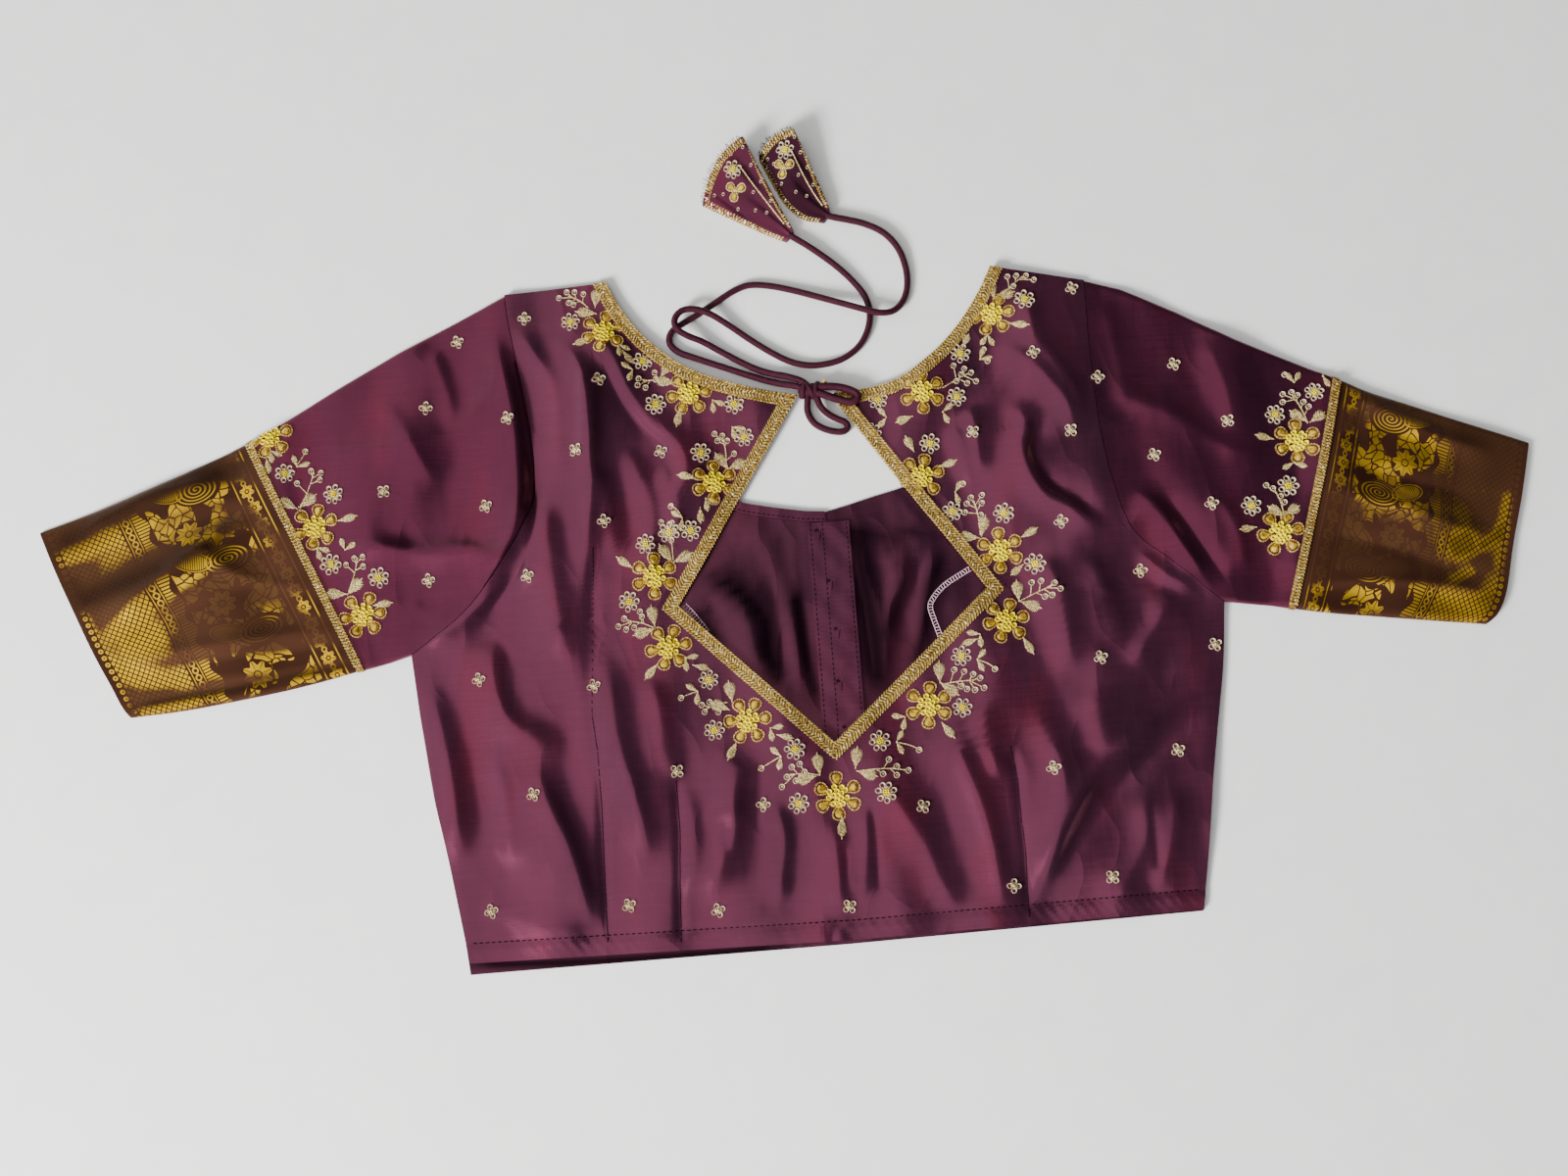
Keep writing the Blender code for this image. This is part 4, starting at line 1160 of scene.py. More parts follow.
def back_edges(side):
    """The back's inner edge, the line one lace width inside it, and its outer edge."""
    rows = BACK_ROWS[side]
    places = [row[:2] for row in rows]
    corners = [row[4] for row in rows]
    inner = curve_points(places, corners, ROW_STEPS)
    outer = curve_points([row[2:4] for row in rows], [row[5] for row in rows], ROW_STEPS)
    bottom = KITE_BOTTOM_ROW * ROW_STEPS
    coarse = curve_points(places, corners, BAND_STEPS)[KITE_BOTTOM_ROW * BAND_STEPS :]
    banded = offset_inwards(coarse, LACE_WIDE, -OUTWARDS[side])
    left, right = (
        turn_of(BACK_ROWS[half][KITE_BOTTOM_ROW + 1][:2] - inner[bottom]) for half in SIDES
    )
    banded[0] = inner[bottom] - np.array([0, LACE_WIDE / math.sin((left - right) / 2)])
    banded[-1] = inner[-1] + unit(outer[-1] - inner[-1]) * LACE_WIDE
    places = np.linspace(0, len(banded) - 1, len(inner) - bottom)
    axes = [np.interp(places, range(len(banded)), axis) for axis in np.array(banded).T]
    centre = along([inner[0], banded[0]], np.linspace(0, 1, bottom + 1))
    return inner[bottom:], [*centre[:-1], *np.column_stack(axes)], outer


def make_back():
    spots, faces, found = [], [], {}

    def corner(spot):
        key = (round(spot[0], 4), round(spot[1], 4))
        if key not in found:
            found[key] = len(spots)
            spots.append(spot)
        return found[key]

    bottom = KITE_BOTTOM_ROW * ROW_STEPS
    for side in SIDES:
        edge, start, outer = back_edges(side)
        grid = []
        for a, b in zip(start, outer):
            grid.append([corner(a + (b - a) * c / BACK_COLUMNS) for c in range(BACK_COLUMNS + 1)])
        for index, lip in enumerate(edge):
            inside = start[bottom + index]
            lead = [corner(lip + (inside - lip) * c / BAND_COLUMNS) for c in range(BAND_COLUMNS)]
            grid[bottom + index] = lead + grid[bottom + index]
        for row, (here, there) in enumerate(zip(grid, grid[1:])):
            shift = BAND_COLUMNS if row == bottom - 1 else 0
            for column in range(len(here) - 1):
                above = column + shift
                faces.append((here[column], here[column + 1], there[above + 1], there[above]))
    spots = np.array(spots)
    tops = np.column_stack([spots, height_at(spots)])
    points, walls = closed_wall(tops, facing_up(tops, faces), CLOTH)
    mesh = mesh_from("back", points, walls)
    return add_piece("back", mesh, FINISHES["silk"], "silk", "back")


# The folds of the two fronts inside the kite
FRONT_CREASES = [
    # west, east, height, line of (photo_x, photo_y)
    (7, 12, 1.15, ((716, 572), (738, 600), (758, 626), (767, 652), (772, 690), (794, 716))),
    (6, 8, 1.15, ((792, 606), (806, 636), (813, 662), (818, 700))),
    (5, 6, 0.9, ((700, 612), (722, 634), (731, 650), (734, 664))),
    (5, 5, -0.8, ((778, 588), (796, 616), (800, 648), (798, 690))),
    (6, 6, 1.0, ((868, 545), (880, 575), (896, 625), (902, 660), (900, 700))),
    (4, 5, -0.9, ((862, 535), (868, 570), (878, 610), (888, 660), (892, 700))),
    (6, 7, 1.15, ((906, 556), (924, 574), (916, 606), (904, 640), (898, 668))),
    (4, 5, -0.9, ((950, 582), (934, 594), (922, 612), (912, 636))),
    (6, 8, 1.15, ((958, 560), (950, 590), (944, 622), (934, 664))),
    (6, 7, 1.0, ((866, 548), (900, 560), (934, 556), (966, 552))),
    (5, 6, -0.6, ((880, 552), (908, 566), (940, 566))),
]
# Painted shade on the fronts, darker and less glossy: along their deepest folds, and just under the
# back's hem
FRONT_PAINTED_SHADE = [
    # reach, strength, line of (photo_x, photo_y)
    (7, 1.0, ((718, 584), (754, 607), (780, 634), (783, 667), (800, 700))),
    (4.5, 0.9, ((812, 600), (816, 640), (824, 680), (834, 718))),
    (8, 1.0, ((866, 524), (877, 571), (887, 620), (895, 669), (897, 712))),
    (4, 0.85, ((962, 566), (948, 598), (944, 640), (936, 680))),
    (3.5, 0.6, ((900, 552), (920, 582), (914, 622), (904, 650))),
    (4, 0.5, ((874, 548), (905, 548), (940, 540))),
    (5, 1.0, ((708, 620), (721, 640), (733, 662))),
    (6, 0.5, ((716, 560), (732, 520), (756, 486))),
    (5, 0.45, ((790, 540), (800, 580), (806, 620))),
    (4, 0.4, ((764, 560), (772, 590), (780, 604))),
    (3.2, 1.0, ((470, 984), (560, 983), (640, 979), (720, 973), (810, 966))),
]
FRONT_FADE = 7.0
# Where the fronts stay flat under the placket, and how far from there their folds set in
PLACKET_ROOM = (3.5, 34.0)
PLACKET_FADE = 4
FRONT_SEEN = 1.5
FRONT_SLACK = 0.8
FRONT_RIPPLE = 0.2
FRONT_LIFT = 0.1
FRONT_GAP = 0.04
FRONT_HIGHEST = 1.75
FRONT_THINNEST = 0.3
FRONT_CROWDING = 1.35


def kite_line():
    up = BACK_ROWS["left"][KITE_BOTTOM_ROW : TIE_ROW + 1]
    down = BACK_ROWS["right"][KITE_BOTTOM_ROW + 1 : TIE_ROW + 1][::-1]
    return np.array([row[:2] for row in up + down + up[:1]], float)


def front_height(spots):
    """The height of a front: flat under the back, with low soft folds inside the kite."""
    x, y = spots[..., 0], spots[..., 1]
    rise = np.zeros(x.shape)
    for crease in FRONT_CREASES:
        add_crease(rise, x, y, crease, FRONT_SEEN)
    rise += FRONT_RIPPLE * np.sin(x / 6.1 + y / 17) * np.sin(y / 11 - x / 23) + FRONT_LIFT
    rise = np.clip(rise, -FRONT_SLACK, FRONT_HIGHEST)
    line = kite_line()
    gap, _, _ = line_field(x, y, line)
    inside = np.zeros(x.shape, bool)
    for a, b in zip(line, line[1:]):
        spans = (a[1] > y) != (b[1] > y)
        cut = a[0] + (b[0] - a[0]) * (y - a[1]) / (b[1] - a[1] if b[1] != a[1] else 1.0)
        inside ^= spans & (x < cut)
    beside = np.maximum(PLACKET_ROOM[0] - x, x - PLACKET_ROOM[1])
    beside = np.clip(beside / PLACKET_FADE, 0, 1)
    fade = np.clip(gap / FRONT_FADE, 0, 1) * inside * beside
    return FRONT_TOP + rise * eased(fade)


def make_front(side):
    rows = FRONT_INNER[side]
    inner = np.array(curve_points([row[:2] for row in rows], [row[2] for row in rows], ROW_STEPS))
    inner[:, 0] += OUTWARDS[side] * FRONT_GAP / 2
    outer = np.array(back_edges(side)[2])
    drop = np.maximum(0, 1 - (outer[:, 1] - outer[0, 1]) / HEM_DROP_REACH) ** 2
    outer[:, 1] -= FRONT_HEM_DROP[side] * drop
    shares = np.linspace(0, 1, FRONT_COLUMNS + 1) ** FRONT_CROWDING
    spots = np.array([a + (b - a) * share for a, b in zip(inner, outer) for share in shares])
    tops = np.column_stack([spots, front_height(spots)])
    faces = grid_faces(len(inner) - 1, FRONT_COLUMNS)
    points, walls = closed_wall(tops, facing_up(tops, faces), CLOTH)
    under = points[len(tops) :]
    under[:, 2] = np.clip(under[:, 2], 0, tops[:, 2] - FRONT_THINNEST)
    mesh = mesh_from("front_" + side, points, walls)
    # Painted shade: bands that darken the fronts' deepest folds and the strip just under the back's
    # hem
    add_place(mesh, "depth", bands_at(FRONT_PAINTED_SHADE, points[:, :2], FRONT_SEEN))
    return add_piece("front_" + side, mesh, FINISHES["lining"], "lining", "front_" + side)


def strip_over(name, pairs, columns, height_of, thickness, finish, slot):
    """A flat strip between pairs of points across it."""
    spots = np.array([a + (b - a) * c / columns for a, b in pairs for c in range(columns + 1)])
    tops = np.column_stack([spots, height_of(spots)])
    faces = grid_faces(len(pairs) - 1, columns)
    points, walls = closed_wall(tops, facing_up(tops, faces), thickness)
    return add_piece(name, mesh_from(name, points, walls, 50), FINISHES[finish], slot, name)


PLACKET_SEAT = 0.05
PLACKET_TOP = FRONT_TOP + PLACKET_SEAT + CLOTH
PLACKET_PUCKER = 0.14
PLACKET_WAVE = 0.1
PLACKET_ABOVE_HEM = 2.0
PLACKET_STITCHES = (1.6, 8.6, 22.4)
BINDING_STITCHED_AT = 0.8
HOOK_EYE_LEANS = (0.3, -0.5, 1.2)
HOOK_EYES = [
    # x, y on the placket
    (14.0, 38.0), (18.5, 8.0), (20.5, -20.0), (19.5, -50.0), (21.0, -76.0),
]


def placket_height(spots):
    """The placket's upper side: puckered between its rows of stitches."""
    x, y = spots[..., 0], spots[..., 1]
    pucker = PLACKET_PUCKER * np.sin(y / 3.1 + x / 7) * np.sin(x / 3.8)
    return PLACKET_TOP + pucker + PLACKET_WAVE * np.sin(y / 14)


def make_front_trim():
    """The hook placket, its rows of stitches and thread eyes, and the turned neck binding."""
    rows = [np.array(row[:2], float) for row in FRONT_INNER["left"]]
    line = [spot + np.array([PLACKET_OVERLAP, 0]) for spot in rows[:BINDING_FROM_ROW]]
    line[0][1] += PLACKET_ABOVE_HEM
    line[-1][1] -= BINDING_WIDE + SEAM_GAP
    line = evenly(line, 3.0)
    across = np.array([PLACKET_WIDE, 0])
    pairs = [(spot - across, spot) for spot in line]
    placket = strip_over("placket", pairs, 16, placket_height, CLOTH, "facing", "lining")
    for inset in PLACKET_STITCHES:
        seam = [spot + np.array([inset, 0]) for spot, _ in pairs]
        thread_line("placket", "dark_thread", seam, "facing")
    for x, y in HOOK_EYES:
        for lean in HOOK_EYE_LEANS:
            sew("placket", "dark_thread", "stitch", (x, y), lean, *SIZES["hook eye"])
        sew("placket", "dark_thread", "stitch", (x + 2.0, y - 3.0), 1.4, *SIZES["hook bar"])
    neck = rows[BINDING_FROM_ROW - 1 : BINDING_TO_ROW + 1]
    neck[0][0] -= SEAM_GAP
    below = offset_inwards(neck, BINDING_WIDE, 1)
    below[0][0] = neck[0][0]
    shares = np.linspace(0, 1, 24)
    pairs = list(zip(along(neck, shares), along(below, shares)))
    binding = strip_over("binding_front", pairs, 6, flat_at(PLACKET_TOP), CLOTH, "facing", "silk")
    edge = [a + (b - a) * BINDING_STITCHED_AT for a, b in pairs]
    thread_line("binding_front", "dark_thread", edge, "facing")
    return placket, binding


# Threads that show on the fronts: the overlocked seam edges on either side of the kite
OVERLOCK_LINES = {
    # the places as (photo_x, photo_y)
    "front_right": ((990, 580), (977, 588), (964, 597), (954, 608), (949, 619), (953, 632),
        (958, 645), (961, 653)),
    "front_left": ((698, 617), (710, 630), (722, 645)),
}
OVERLOCK_HALF = 1.3
HEM_STITCH_INSET = 1.5


def sew_overlock(side):
    """A pale ladder of thread over the raw edge of a seam."""
    carrier = "front_" + side
    line = smooth([seen_at(*place, FRONT_SEEN) for place in OVERLOCK_LINES[carrier]], 6)
    for shift in (-OVERLOCK_HALF, OVERLOCK_HALF):
        rail = offset_inwards(line, shift, 1)
        thread_line(carrier, "overlock_thread", rail, "overlock")
    rungs = evenly(line, STITCHES["overlock"][0])
    for index, (a, b) in enumerate(zip(rungs, rungs[1:])):
        turn = turn_of(b - a) + math.pi / 2 + wobble(index, 0.5)
        sew(carrier, "overlock_thread", "stitch", (a + b) / 2, turn, *SIZES["rung"])


def sew_hem():
    """The stitches that hold the back's turned hem, and those along its seams and darts."""
    for side in SIDES:
        row = BACK_ROWS[side][0]
        a = np.array(row[:2], float)
        b = np.array(row[2:4], float)
        up = np.array([0, HEM_DEPTH])
        inset = unit(b - a) * HEM_STITCH_INSET
        thread_line("back", "dark_thread", [a + up, b + up - inset], "hem")
    for _, _, line in SEAMS[:SEAMS_SEWN]:
        thread_line("back", "dark_thread", [seen_at(*place) for place in line], "seam")


# Sleeves and borders

def surface_between(top, low, start, end, stations):
    """Rows of plan points between four edge curves, a row for each station along a sleeve."""
    t = np.linspace(0, 1, len(start))[:, None]
    rows = []
    for s, high_point, low_point in zip(stations, along(top, stations), along(low, stations)):
        ruled = (1 - t) * high_point + t * low_point + (1 - s) * start + s * end
        first = (1 - t) * start[0] + t * start[-1]
        last = (1 - t) * end[0] + t * end[-1]
        rows.append(ruled - (1 - s) * first - s * last)
    return rows


BROCADE_RUN = 128.0
TUBE_WALL = 0.6
FOLD_ROUND = 3.2
FOLD_SHARES = (0.0, 0.08, 0.25, 0.55)


def fold_shares(wide, count):
    """Shares of a tube's width: close together at its two folds, and a count of them between."""
    near = FOLD_ROUND / wide
    ends = np.array(FOLD_SHARES) * near
    return np.concatenate([ends, np.linspace(near, 1 - near, count), 1 - ends[::-1]])


def fold_swell(edge):
    """How far a tube's layer has risen at a distance from its fold, from 0 to 1."""
    return np.sqrt(1 - (1 - np.clip(edge / FOLD_ROUND, 0, 1)) ** 2)


def ring_over(spots, high, low):
    """A closed ring from the heights of an upper and a lower layer over the same spots."""
    lower = np.column_stack([spots, low])[1:-1][::-1]
    return np.vstack([np.column_stack([spots, high]), lower])


def thinned(ring, middle, wall, most=0.8):
    """A ring moved towards a height by a wall's thickness, or by a share of the way there."""
    moved = ring.copy()
    run = ring[:, 2] - middle
    moved[:, 2] -= np.sign(run) * np.minimum(wall, most * np.abs(run))
    return moved


def walled_tube(name, rings, inner, sharp, outwards=True):
    """A tube of rings with a wall of its own, closed at both ends as a turned hem is."""
    count = len(rings[0])
    skip = len(rings) * count
    last = skip - count
    faces = []
    for face in faces_round([(at, at + count) for at in range(0, last, count)], count):
        face = face if outwards else face[:1] + face[:0:-1]
        faces += [face, tuple(corner + skip for corner in reversed(face))]
    ends = [(skip, 0), (last, skip + last)]
    faces += faces_round(ends if outwards else [pair[::-1] for pair in ends], count)
    return mesh_from(name, np.vstack(rings + inner), faces, sharp)


def sleeve_tube(name, rows, lifts, runs):
    """A flattened tube over rows of plan points, rounded at its two folds."""
    rings, inner, weave = [], [], []
    for row, lift, run in zip(rows, lifts, runs):
        wide = length_of(row)
        shares = fold_shares(wide, SLEEVE_ACROSS - 2 * len(FOLD_SHARES))
        spots = along(row, shares)
        swell = fold_swell(np.minimum(shares, 1 - shares) * wide)
        middle = lift + FLAT_TOP / 2
        high = middle + (height_at(spots) - middle) * swell
        ring = ring_over(spots, high, middle - FLAT_TOP / 2 * swell)
        within = thinned(ring, ring[:, 2].min() + FLAT_TOP / 2, TUBE_WALL)
        for end in (0, SLEEVE_ACROSS - 1):
            inwards = unit(ring[SLEEVE_ACROSS // 2, :2] - ring[end, :2])
            within[end, :2] += inwards * TUBE_WALL
        rings.append(ring)
        inner.append(within)
        places = np.concatenate([shares, 2 - shares[1:-1][::-1]]) * wide
        weave.append(np.column_stack([places, np.full(len(ring), run)]))
    mesh = walled_tube(name, rings, inner, 80)
    add_place(mesh, "weave", np.vstack(weave + weave) * MM)
    return mesh


def make_sleeve(side):
    """A sleeve's silk and its brocade border."""
    armhole = back_edges(side)[2][UNDERARM_ROW * ROW_STEPS :][::-1]
    armhole = np.array(offset_inwards(armhole, SEAM_GAP, OUTWARDS[side]))
    even = np.linspace(0, 1, len(armhole))
    seam = along([SLEEVE_TOP[side][-1], SLEEVE_LOW[side][-1]], even)
    cuff = along(smooth(CUFF[side]), even)
    top = [armhole[0], *SLEEVE_TOP[side][1:]]
    low = [armhole[-1], *SLEEVE_LOW[side][1:]]
    reach = length_of(top)
    stations = np.linspace(0, 1 - SEAM_GAP / 2 / reach, SLEEVE_STATIONS)
    rows = surface_between(top, low, armhole, seam, stations)
    lifts = lace_lift((1 - stations) * reach - LACE_WIDE)
    name = "sleeve_" + side
    mesh = sleeve_tube(name, rows, lifts, stations * reach)
    silk = add_piece(name, mesh, FINISHES["sleeve_silk"], "silk", name)
    reach = length_of(BORDER_TOP[side])
    stations = np.linspace(SEAM_GAP / reach, 1, BORDER_STATIONS)
    folds = smooth(BORDER_TOP[side]), smooth(BORDER_LOW[side])
    rows = surface_between(*folds, seam, cuff, stations)
    name = "border_" + side
    mesh = sleeve_tube(name, rows, lace_lift(stations * reach), (1 - stations) * BROCADE_RUN)
    corners = np.zeros(len(mesh.vertices) * 3)
    mesh.vertices.foreach_get("co", corners)
    # Painted highlight and painted shade on the border's gold, in bands
    add_place(mesh, "gleam", bands_at(PAINTED_LIGHT_BANDS[side], corners.reshape(-1, 3)[:, :2] / MM))
    return silk, add_piece(name, mesh, FINISHES["brocade"], "brocade", name)


# Small sewn things, each of them one of a few shapes, of unit size and draped on its cloth

def ring_of(count, radius, height):
    turns = np.linspace(0, 2 * math.pi, count, endpoint=False)
    return np.column_stack([radius * np.cos(turns), radius * np.sin(turns), np.full(count, height)])


def joined_rings(rings, capped=True):
    """Faces between rings that have the same number of points, and caps at the two ends."""
    count = len(rings[0])
    last = (len(rings) - 1) * count
    faces = faces_round([(at, at + count) for at in range(0, last, count)], count)
    if capped:
        faces += [tuple(reversed(range(count))), tuple(range(last, last + count))]
    return np.vstack(rings), faces


def stitch_shape():
    """One laid thread: a thin rounded bar that sinks into the cloth at both ends."""
    rings = []
    turns = np.radians([0, 60, 120, 180, 270])
    for reach, size in ((-0.5, 0.35), (-0.24, 0.98), (0.24, 0.98), (0.5, 0.35)):
        highs = size * np.sin(turns)
        highs[highs < 0] = -0.25
        rings.append(np.column_stack([np.full(5, reach), -0.5 * size * np.cos(turns), highs]))
    return joined_rings(rings)


def hoop_shape(count, hole):
    """A ring with a hole in the middle: a sequin, or a knotted loop of thread."""
    sizes = ((0.5, 0.0), (0.25 + (1 + hole) / 8, 1.0), (hole / 2, 0.0))
    points, faces = joined_rings([ring_of(count, radius, high) for radius, high in sizes], False)
    return points, faces + faces_round([(2 * count, 0)], count)


def drop_outline(count):
    """The outline of a teardrop, its tip at the start."""
    turns = np.linspace(0, 2 * math.pi, count, endpoint=False)
    wide = 0.5 * np.sin(turns) * np.sin(turns / 2) ** 1.1
    return np.column_stack([-0.5 * np.cos(turns), wide / 0.39 * 0.5])


def stone_shape():
    """A teardrop stone: a low rim, a sloping shoulder and a small flat table."""
    outline = drop_outline(14)
    middle = np.array([0.12, 0.0])
    rings = []
    for scale, height in ((1.0, 0.0), (0.96, 0.4), (0.55, 1.0)):
        spots = middle + (outline - middle) * scale
        rings.append(np.column_stack([spots, np.full(len(spots), height)]))
    return joined_rings(rings)


def bead_shape():
    turns = (-1.2, -0.45, 0.35, 1.1)
    return joined_rings([ring_of(8, 0.5 * math.cos(a), 0.5 + 0.5 * math.sin(a)) for a in turns])


SHAPES = {
    "stitch": stitch_shape(),
    "sequin": hoop_shape(10, 0.54),
    "knot": hoop_shape(8, 0.2),
    "stone": stone_shape(),
    "bead": bead_shape(),
}

# Runs of stitches: the gap from one to the next, and each one's three sizes
STITCHES = {
    # gap, length, width, height
    "facing": (2.9, 1.9, 0.55, 0.4),
    "overlock": (1.7, 2.1, 0.5, 0.5),
    "hem": (3.3, 2.4, 0.8, 0.4),
    "seam": (2.4, 3.0, 0.8, 0.2),
    "vein": (1.9, 2.3, 0.65, 1.05),
    "petal": (1.45, 1.7, 1.1, 1.1),
    "stem": (1.5, 1.9, 0.7, 0.75),
    "stalk": (1.5, 1.8, 0.6, 0.65),
    "couched": (1.6, 1.7, 0.8, 0.8),
    "small petal": (1.4, 1.7, 0.7, 0.8),
}

# Single small things
SIZES = {
    # length, width, height
    "hook eye": (3.2, 0.5, 0.5),
    "hook bar": (6.0, 0.4, 0.4),
    "rung": (2.9, 0.5, 0.6),
    "scattered sequin": (3.5, 3.3, 1.0),
    "scattered thread": (2.2, 0.6, 0.7),
    "scattered bead": (1.5, 1.5, 1.5),
    "berry": (3.6, 3.6, 1.0),
    "berry bead": (0.9, 0.9, 0.9),
    "hanger sequin": (2.0, 2.0, 0.7),
    "knot bead": (3.0, 3.0, 2.8),
}

# Every small thing that is sewn on, by the piece that carries it and by its material
sewn = {}


def sew(carrier, slot, shape, spot, turn, length, width, height, lift=0.0):
    """Note one small thing: its middle in plan, its turn in radians, and its three sizes."""
    row = (spot[0], spot[1], turn, length, width, height, lift)
    sewn.setdefault((carrier, slot), {}).setdefault(shape, []).append(row)


def sewn_mesh(name, shapes, height_of):
    """All the small things of one material on one piece, joined, each corner laid on the cloth."""
    all_points, all_faces, count = [], [], 0
    for shape in sorted(shapes):
        template, faces = SHAPES[shape]
        columns = np.array(shapes[shape], float).T[:, :, None]
        middle_x, middle_y, turn, length, width, height, lift = columns
        ahead = template[:, 0] * length
        aside = template[:, 1] * width
        x = middle_x + ahead * np.cos(turn) - aside * np.sin(turn)
        y = middle_y + ahead * np.sin(turn) + aside * np.cos(turn)
        z = height_of(np.stack([x, y], axis=-1)) + lift + template[:, 2] * height
        all_points.append(np.stack([x, y, z], axis=-1).reshape(-1, 3))
        for _ in middle_x:
            all_faces.extend(tuple(corner + count for corner in face) for face in faces)
            count += len(template)
    return mesh_from(name, np.vstack(all_points), all_faces, 40)


def wobble(index, size):
    """A small uneven amount, the same each time for the same count."""
    return size * math.sin(index * 12.9898 + 4.1) * math.cos(index * 4.737)


def thread_line(carrier, slot, points, kind, lean=0.0):
    """A run of one kind of stitches along a line, each leaning by the same turn."""
    gap, *sizes = STITCHES[kind]
    points = evenly(points, gap)
    for index, (a, b) in enumerate(zip(points, points[1:])):
        turn = turn_of(b - a) + lean + wobble(index, 0.12)
        sew(carrier, slot, "stitch", (a + b)[:2] / 2, turn, *sizes)


def seen_turn(photo_x, photo_y, turn_degrees):
    """A direction of the view, counter-clockwise from its right, as a turn in plan."""
    run_x, run_y = 20 * heading(math.radians(turn_degrees))
    return turn_of(seen_at(photo_x + run_x, photo_y - run_y) - seen_at(photo_x, photo_y))


LEAF_STEP = 1.45


def leaf(carrier, middle, turn, length, width):
    """A pointed leaf: slanted stitches on either side of a vein, ragged at its rim."""
    ahead = heading(turn)
    root = middle - ahead * length / 2
    steps = max(4, round(length / LEAF_STEP))
    for step in range(steps):
        share = (step + 0.4) / steps
        half = width / 2 * math.sin(math.pi * share**0.8) ** 0.8
        base = root + ahead * length * share * 0.8
        for hand in (-1, 1):
            out = left_of(ahead) * hand * half * (1 + wobble(step * 2 + hand, 0.16))
            run = ahead * (0.8 * half + 1.0) + out
            reach = np.linalg.norm(run) + 0.4
            height = 0.8 + wobble(step * 5 + hand, 0.2)
            spot = base + run / 2
            sew(carrier, "gold_thread", "stitch", spot, turn_of(run), reach, 0.62, height)
    thread_line(carrier, "gold_thread", [root - ahead * 0.8, root + ahead * length], "vein")


# The stone petals of the two kinds of flowers
PETALS = {
    # reach, stone's length, width and height, reach of its ring, ring's length, width and points,
    # thread, lean of its stitches
    "petal": (9.0, (6.4, 5.0, 1.5), 9.1, (8.4, 7.2), 18, "gold_lace", 0.2),
    "small petal": (3.1, (5.2, 3.8, 1.3), 3.2, (6.4, 5.2), 14, "gold_thread", 0.0),
}


def stone_petal(carrier, spot, way, kind):
    """A stone at its distance from a flower's middle, ringed by thread."""
    reach, stone, ring_reach, ring, count, thread, lean = PETALS[kind]
    ahead = heading(way)
    sew(carrier, "amber_stone", "stone", spot + ahead * reach, way, *stone)
    outline = [
        spot + ahead * (ring_reach + x) + left_of(ahead) * y
        for x, y in drop_outline(count) * np.array(ring)
    ]
    thread_line(carrier, thread, outline + outline[:1], kind, lean)


# The mound of knots in a stone flower: its rings, how far it reaches, how steep it is and how
# high each knot
HEART_KNOTS = [
    # count, radius, width
    (9, 5.1, 3.4),
    (5, 2.4, 3.3),
    (1, 0.0, 3.4),
]
HEART_REACH = 5.4
HEART_STEEP = 0.16
HEART_HIGH = 1.7


def stone_flower(carrier, spot, turn):
    """Six amber stones ringed by gold thread round a mound of yellow knots."""
    for petal in range(6):
        way = turn + petal * math.pi / 3 + wobble(petal + spot[0], 0.09)
        stone_petal(carrier, spot, way, "petal")
    for count, radius, wide in HEART_KNOTS:
        lift = (HEART_REACH - radius) * HEART_STEEP
        for index in range(count):
            way = turn + 2 * math.pi * index / count + wobble(index + count, 0.2)
            middle = spot + heading(way) * radius
            sew(carrier, "yellow_thread", "knot", middle, way, wide, wide, HEART_HIGH, lift)


# A sequin flower at its full size: its sequins, the two threads that hold each, and its heart
SEQUIN_REACH = 4.4
SEQUIN_LONG = 3.7
SEQUIN_WIDE = 3.5
HOLD_REACH = 2.9
HOLD_LONG = 2.9
HOLD_APART = 0.75
HOLD_LEAN = 0.32
EYE_REACH = 0.95
EYE_WIDE = 2.1


def sequin_flower(carrier, spot, turn, size=1.0):
    """Seven sequins, each held by two threads from a small yellow heart."""
    long, wide = SEQUIN_LONG * size, SEQUIN_WIDE * size
    for petal in range(7):
        way = turn + petal * 2 * math.pi / 7 + wobble(petal + spot[1], 0.1)
        ahead = heading(way)
        middle = spot + ahead * SEQUIN_REACH * size
        sew(carrier, "white_sequin", "sequin", middle, way, long, wide, 1.0)
        for hand in (-1, 1):
            middle = spot + ahead * HOLD_REACH * size + left_of(ahead) * hand * HOLD_APART * size
            lean = way + hand * HOLD_LEAN
            sew(carrier, "gold_thread", "stitch", middle, lean, HOLD_LONG * size, 0.6, 0.6)
    for index in range(4):
        way = turn + index * math.pi / 2
        middle = spot + heading(way) * EYE_REACH * size
        sew(carrier, "yellow_thread", "knot", middle, way, EYE_WIDE * size, EYE_WIDE * size, 1.3)


def scattered_flower(carrier, spot, turn):
    """Four sequins round a gold bead."""
    for petal in range(4):
        way = turn + petal * math.pi / 2
        reach = heading(way) * 2.4
        sew(carrier, "white_sequin", "sequin", spot + reach, way, *SIZES["scattered sequin"])
        sew(carrier, "gold_thread", "stitch", spot + reach * 0.55, way, *SIZES["scattered thread"])
    sew(carrier, "gold_thread", "bead", spot, 0, *SIZES["scattered bead"])


def sprig(carrier, root, spots):
    """A stem with a sequin on a short stalk for each of its berries."""
    far_end = np.mean(spots, axis=0) * 1.15 - root * 0.15
    stem = smooth([root, (root + far_end) / 2 + np.array([0.8, 0.6]), far_end], 6)
    thread_line(carrier, "gold_thread", stem, "stem")
    for spot in spots:
        lengths = [np.linalg.norm(spot - point) for point in stem]
        foot = stem[max(0, int(np.argmin(lengths)) - 2)]
        run = spot - foot
        reach = np.linalg.norm(run)
        if reach > 2.4:
            thread_line(carrier, "gold_thread", [foot, foot + run * (1 - 1.5 / reach)], "stalk")
        sew(carrier, "white_sequin", "sequin", spot, 0, *SIZES["berry"])
        sew(carrier, "gold_thread", "bead", spot, 0, *SIZES["berry bead"])


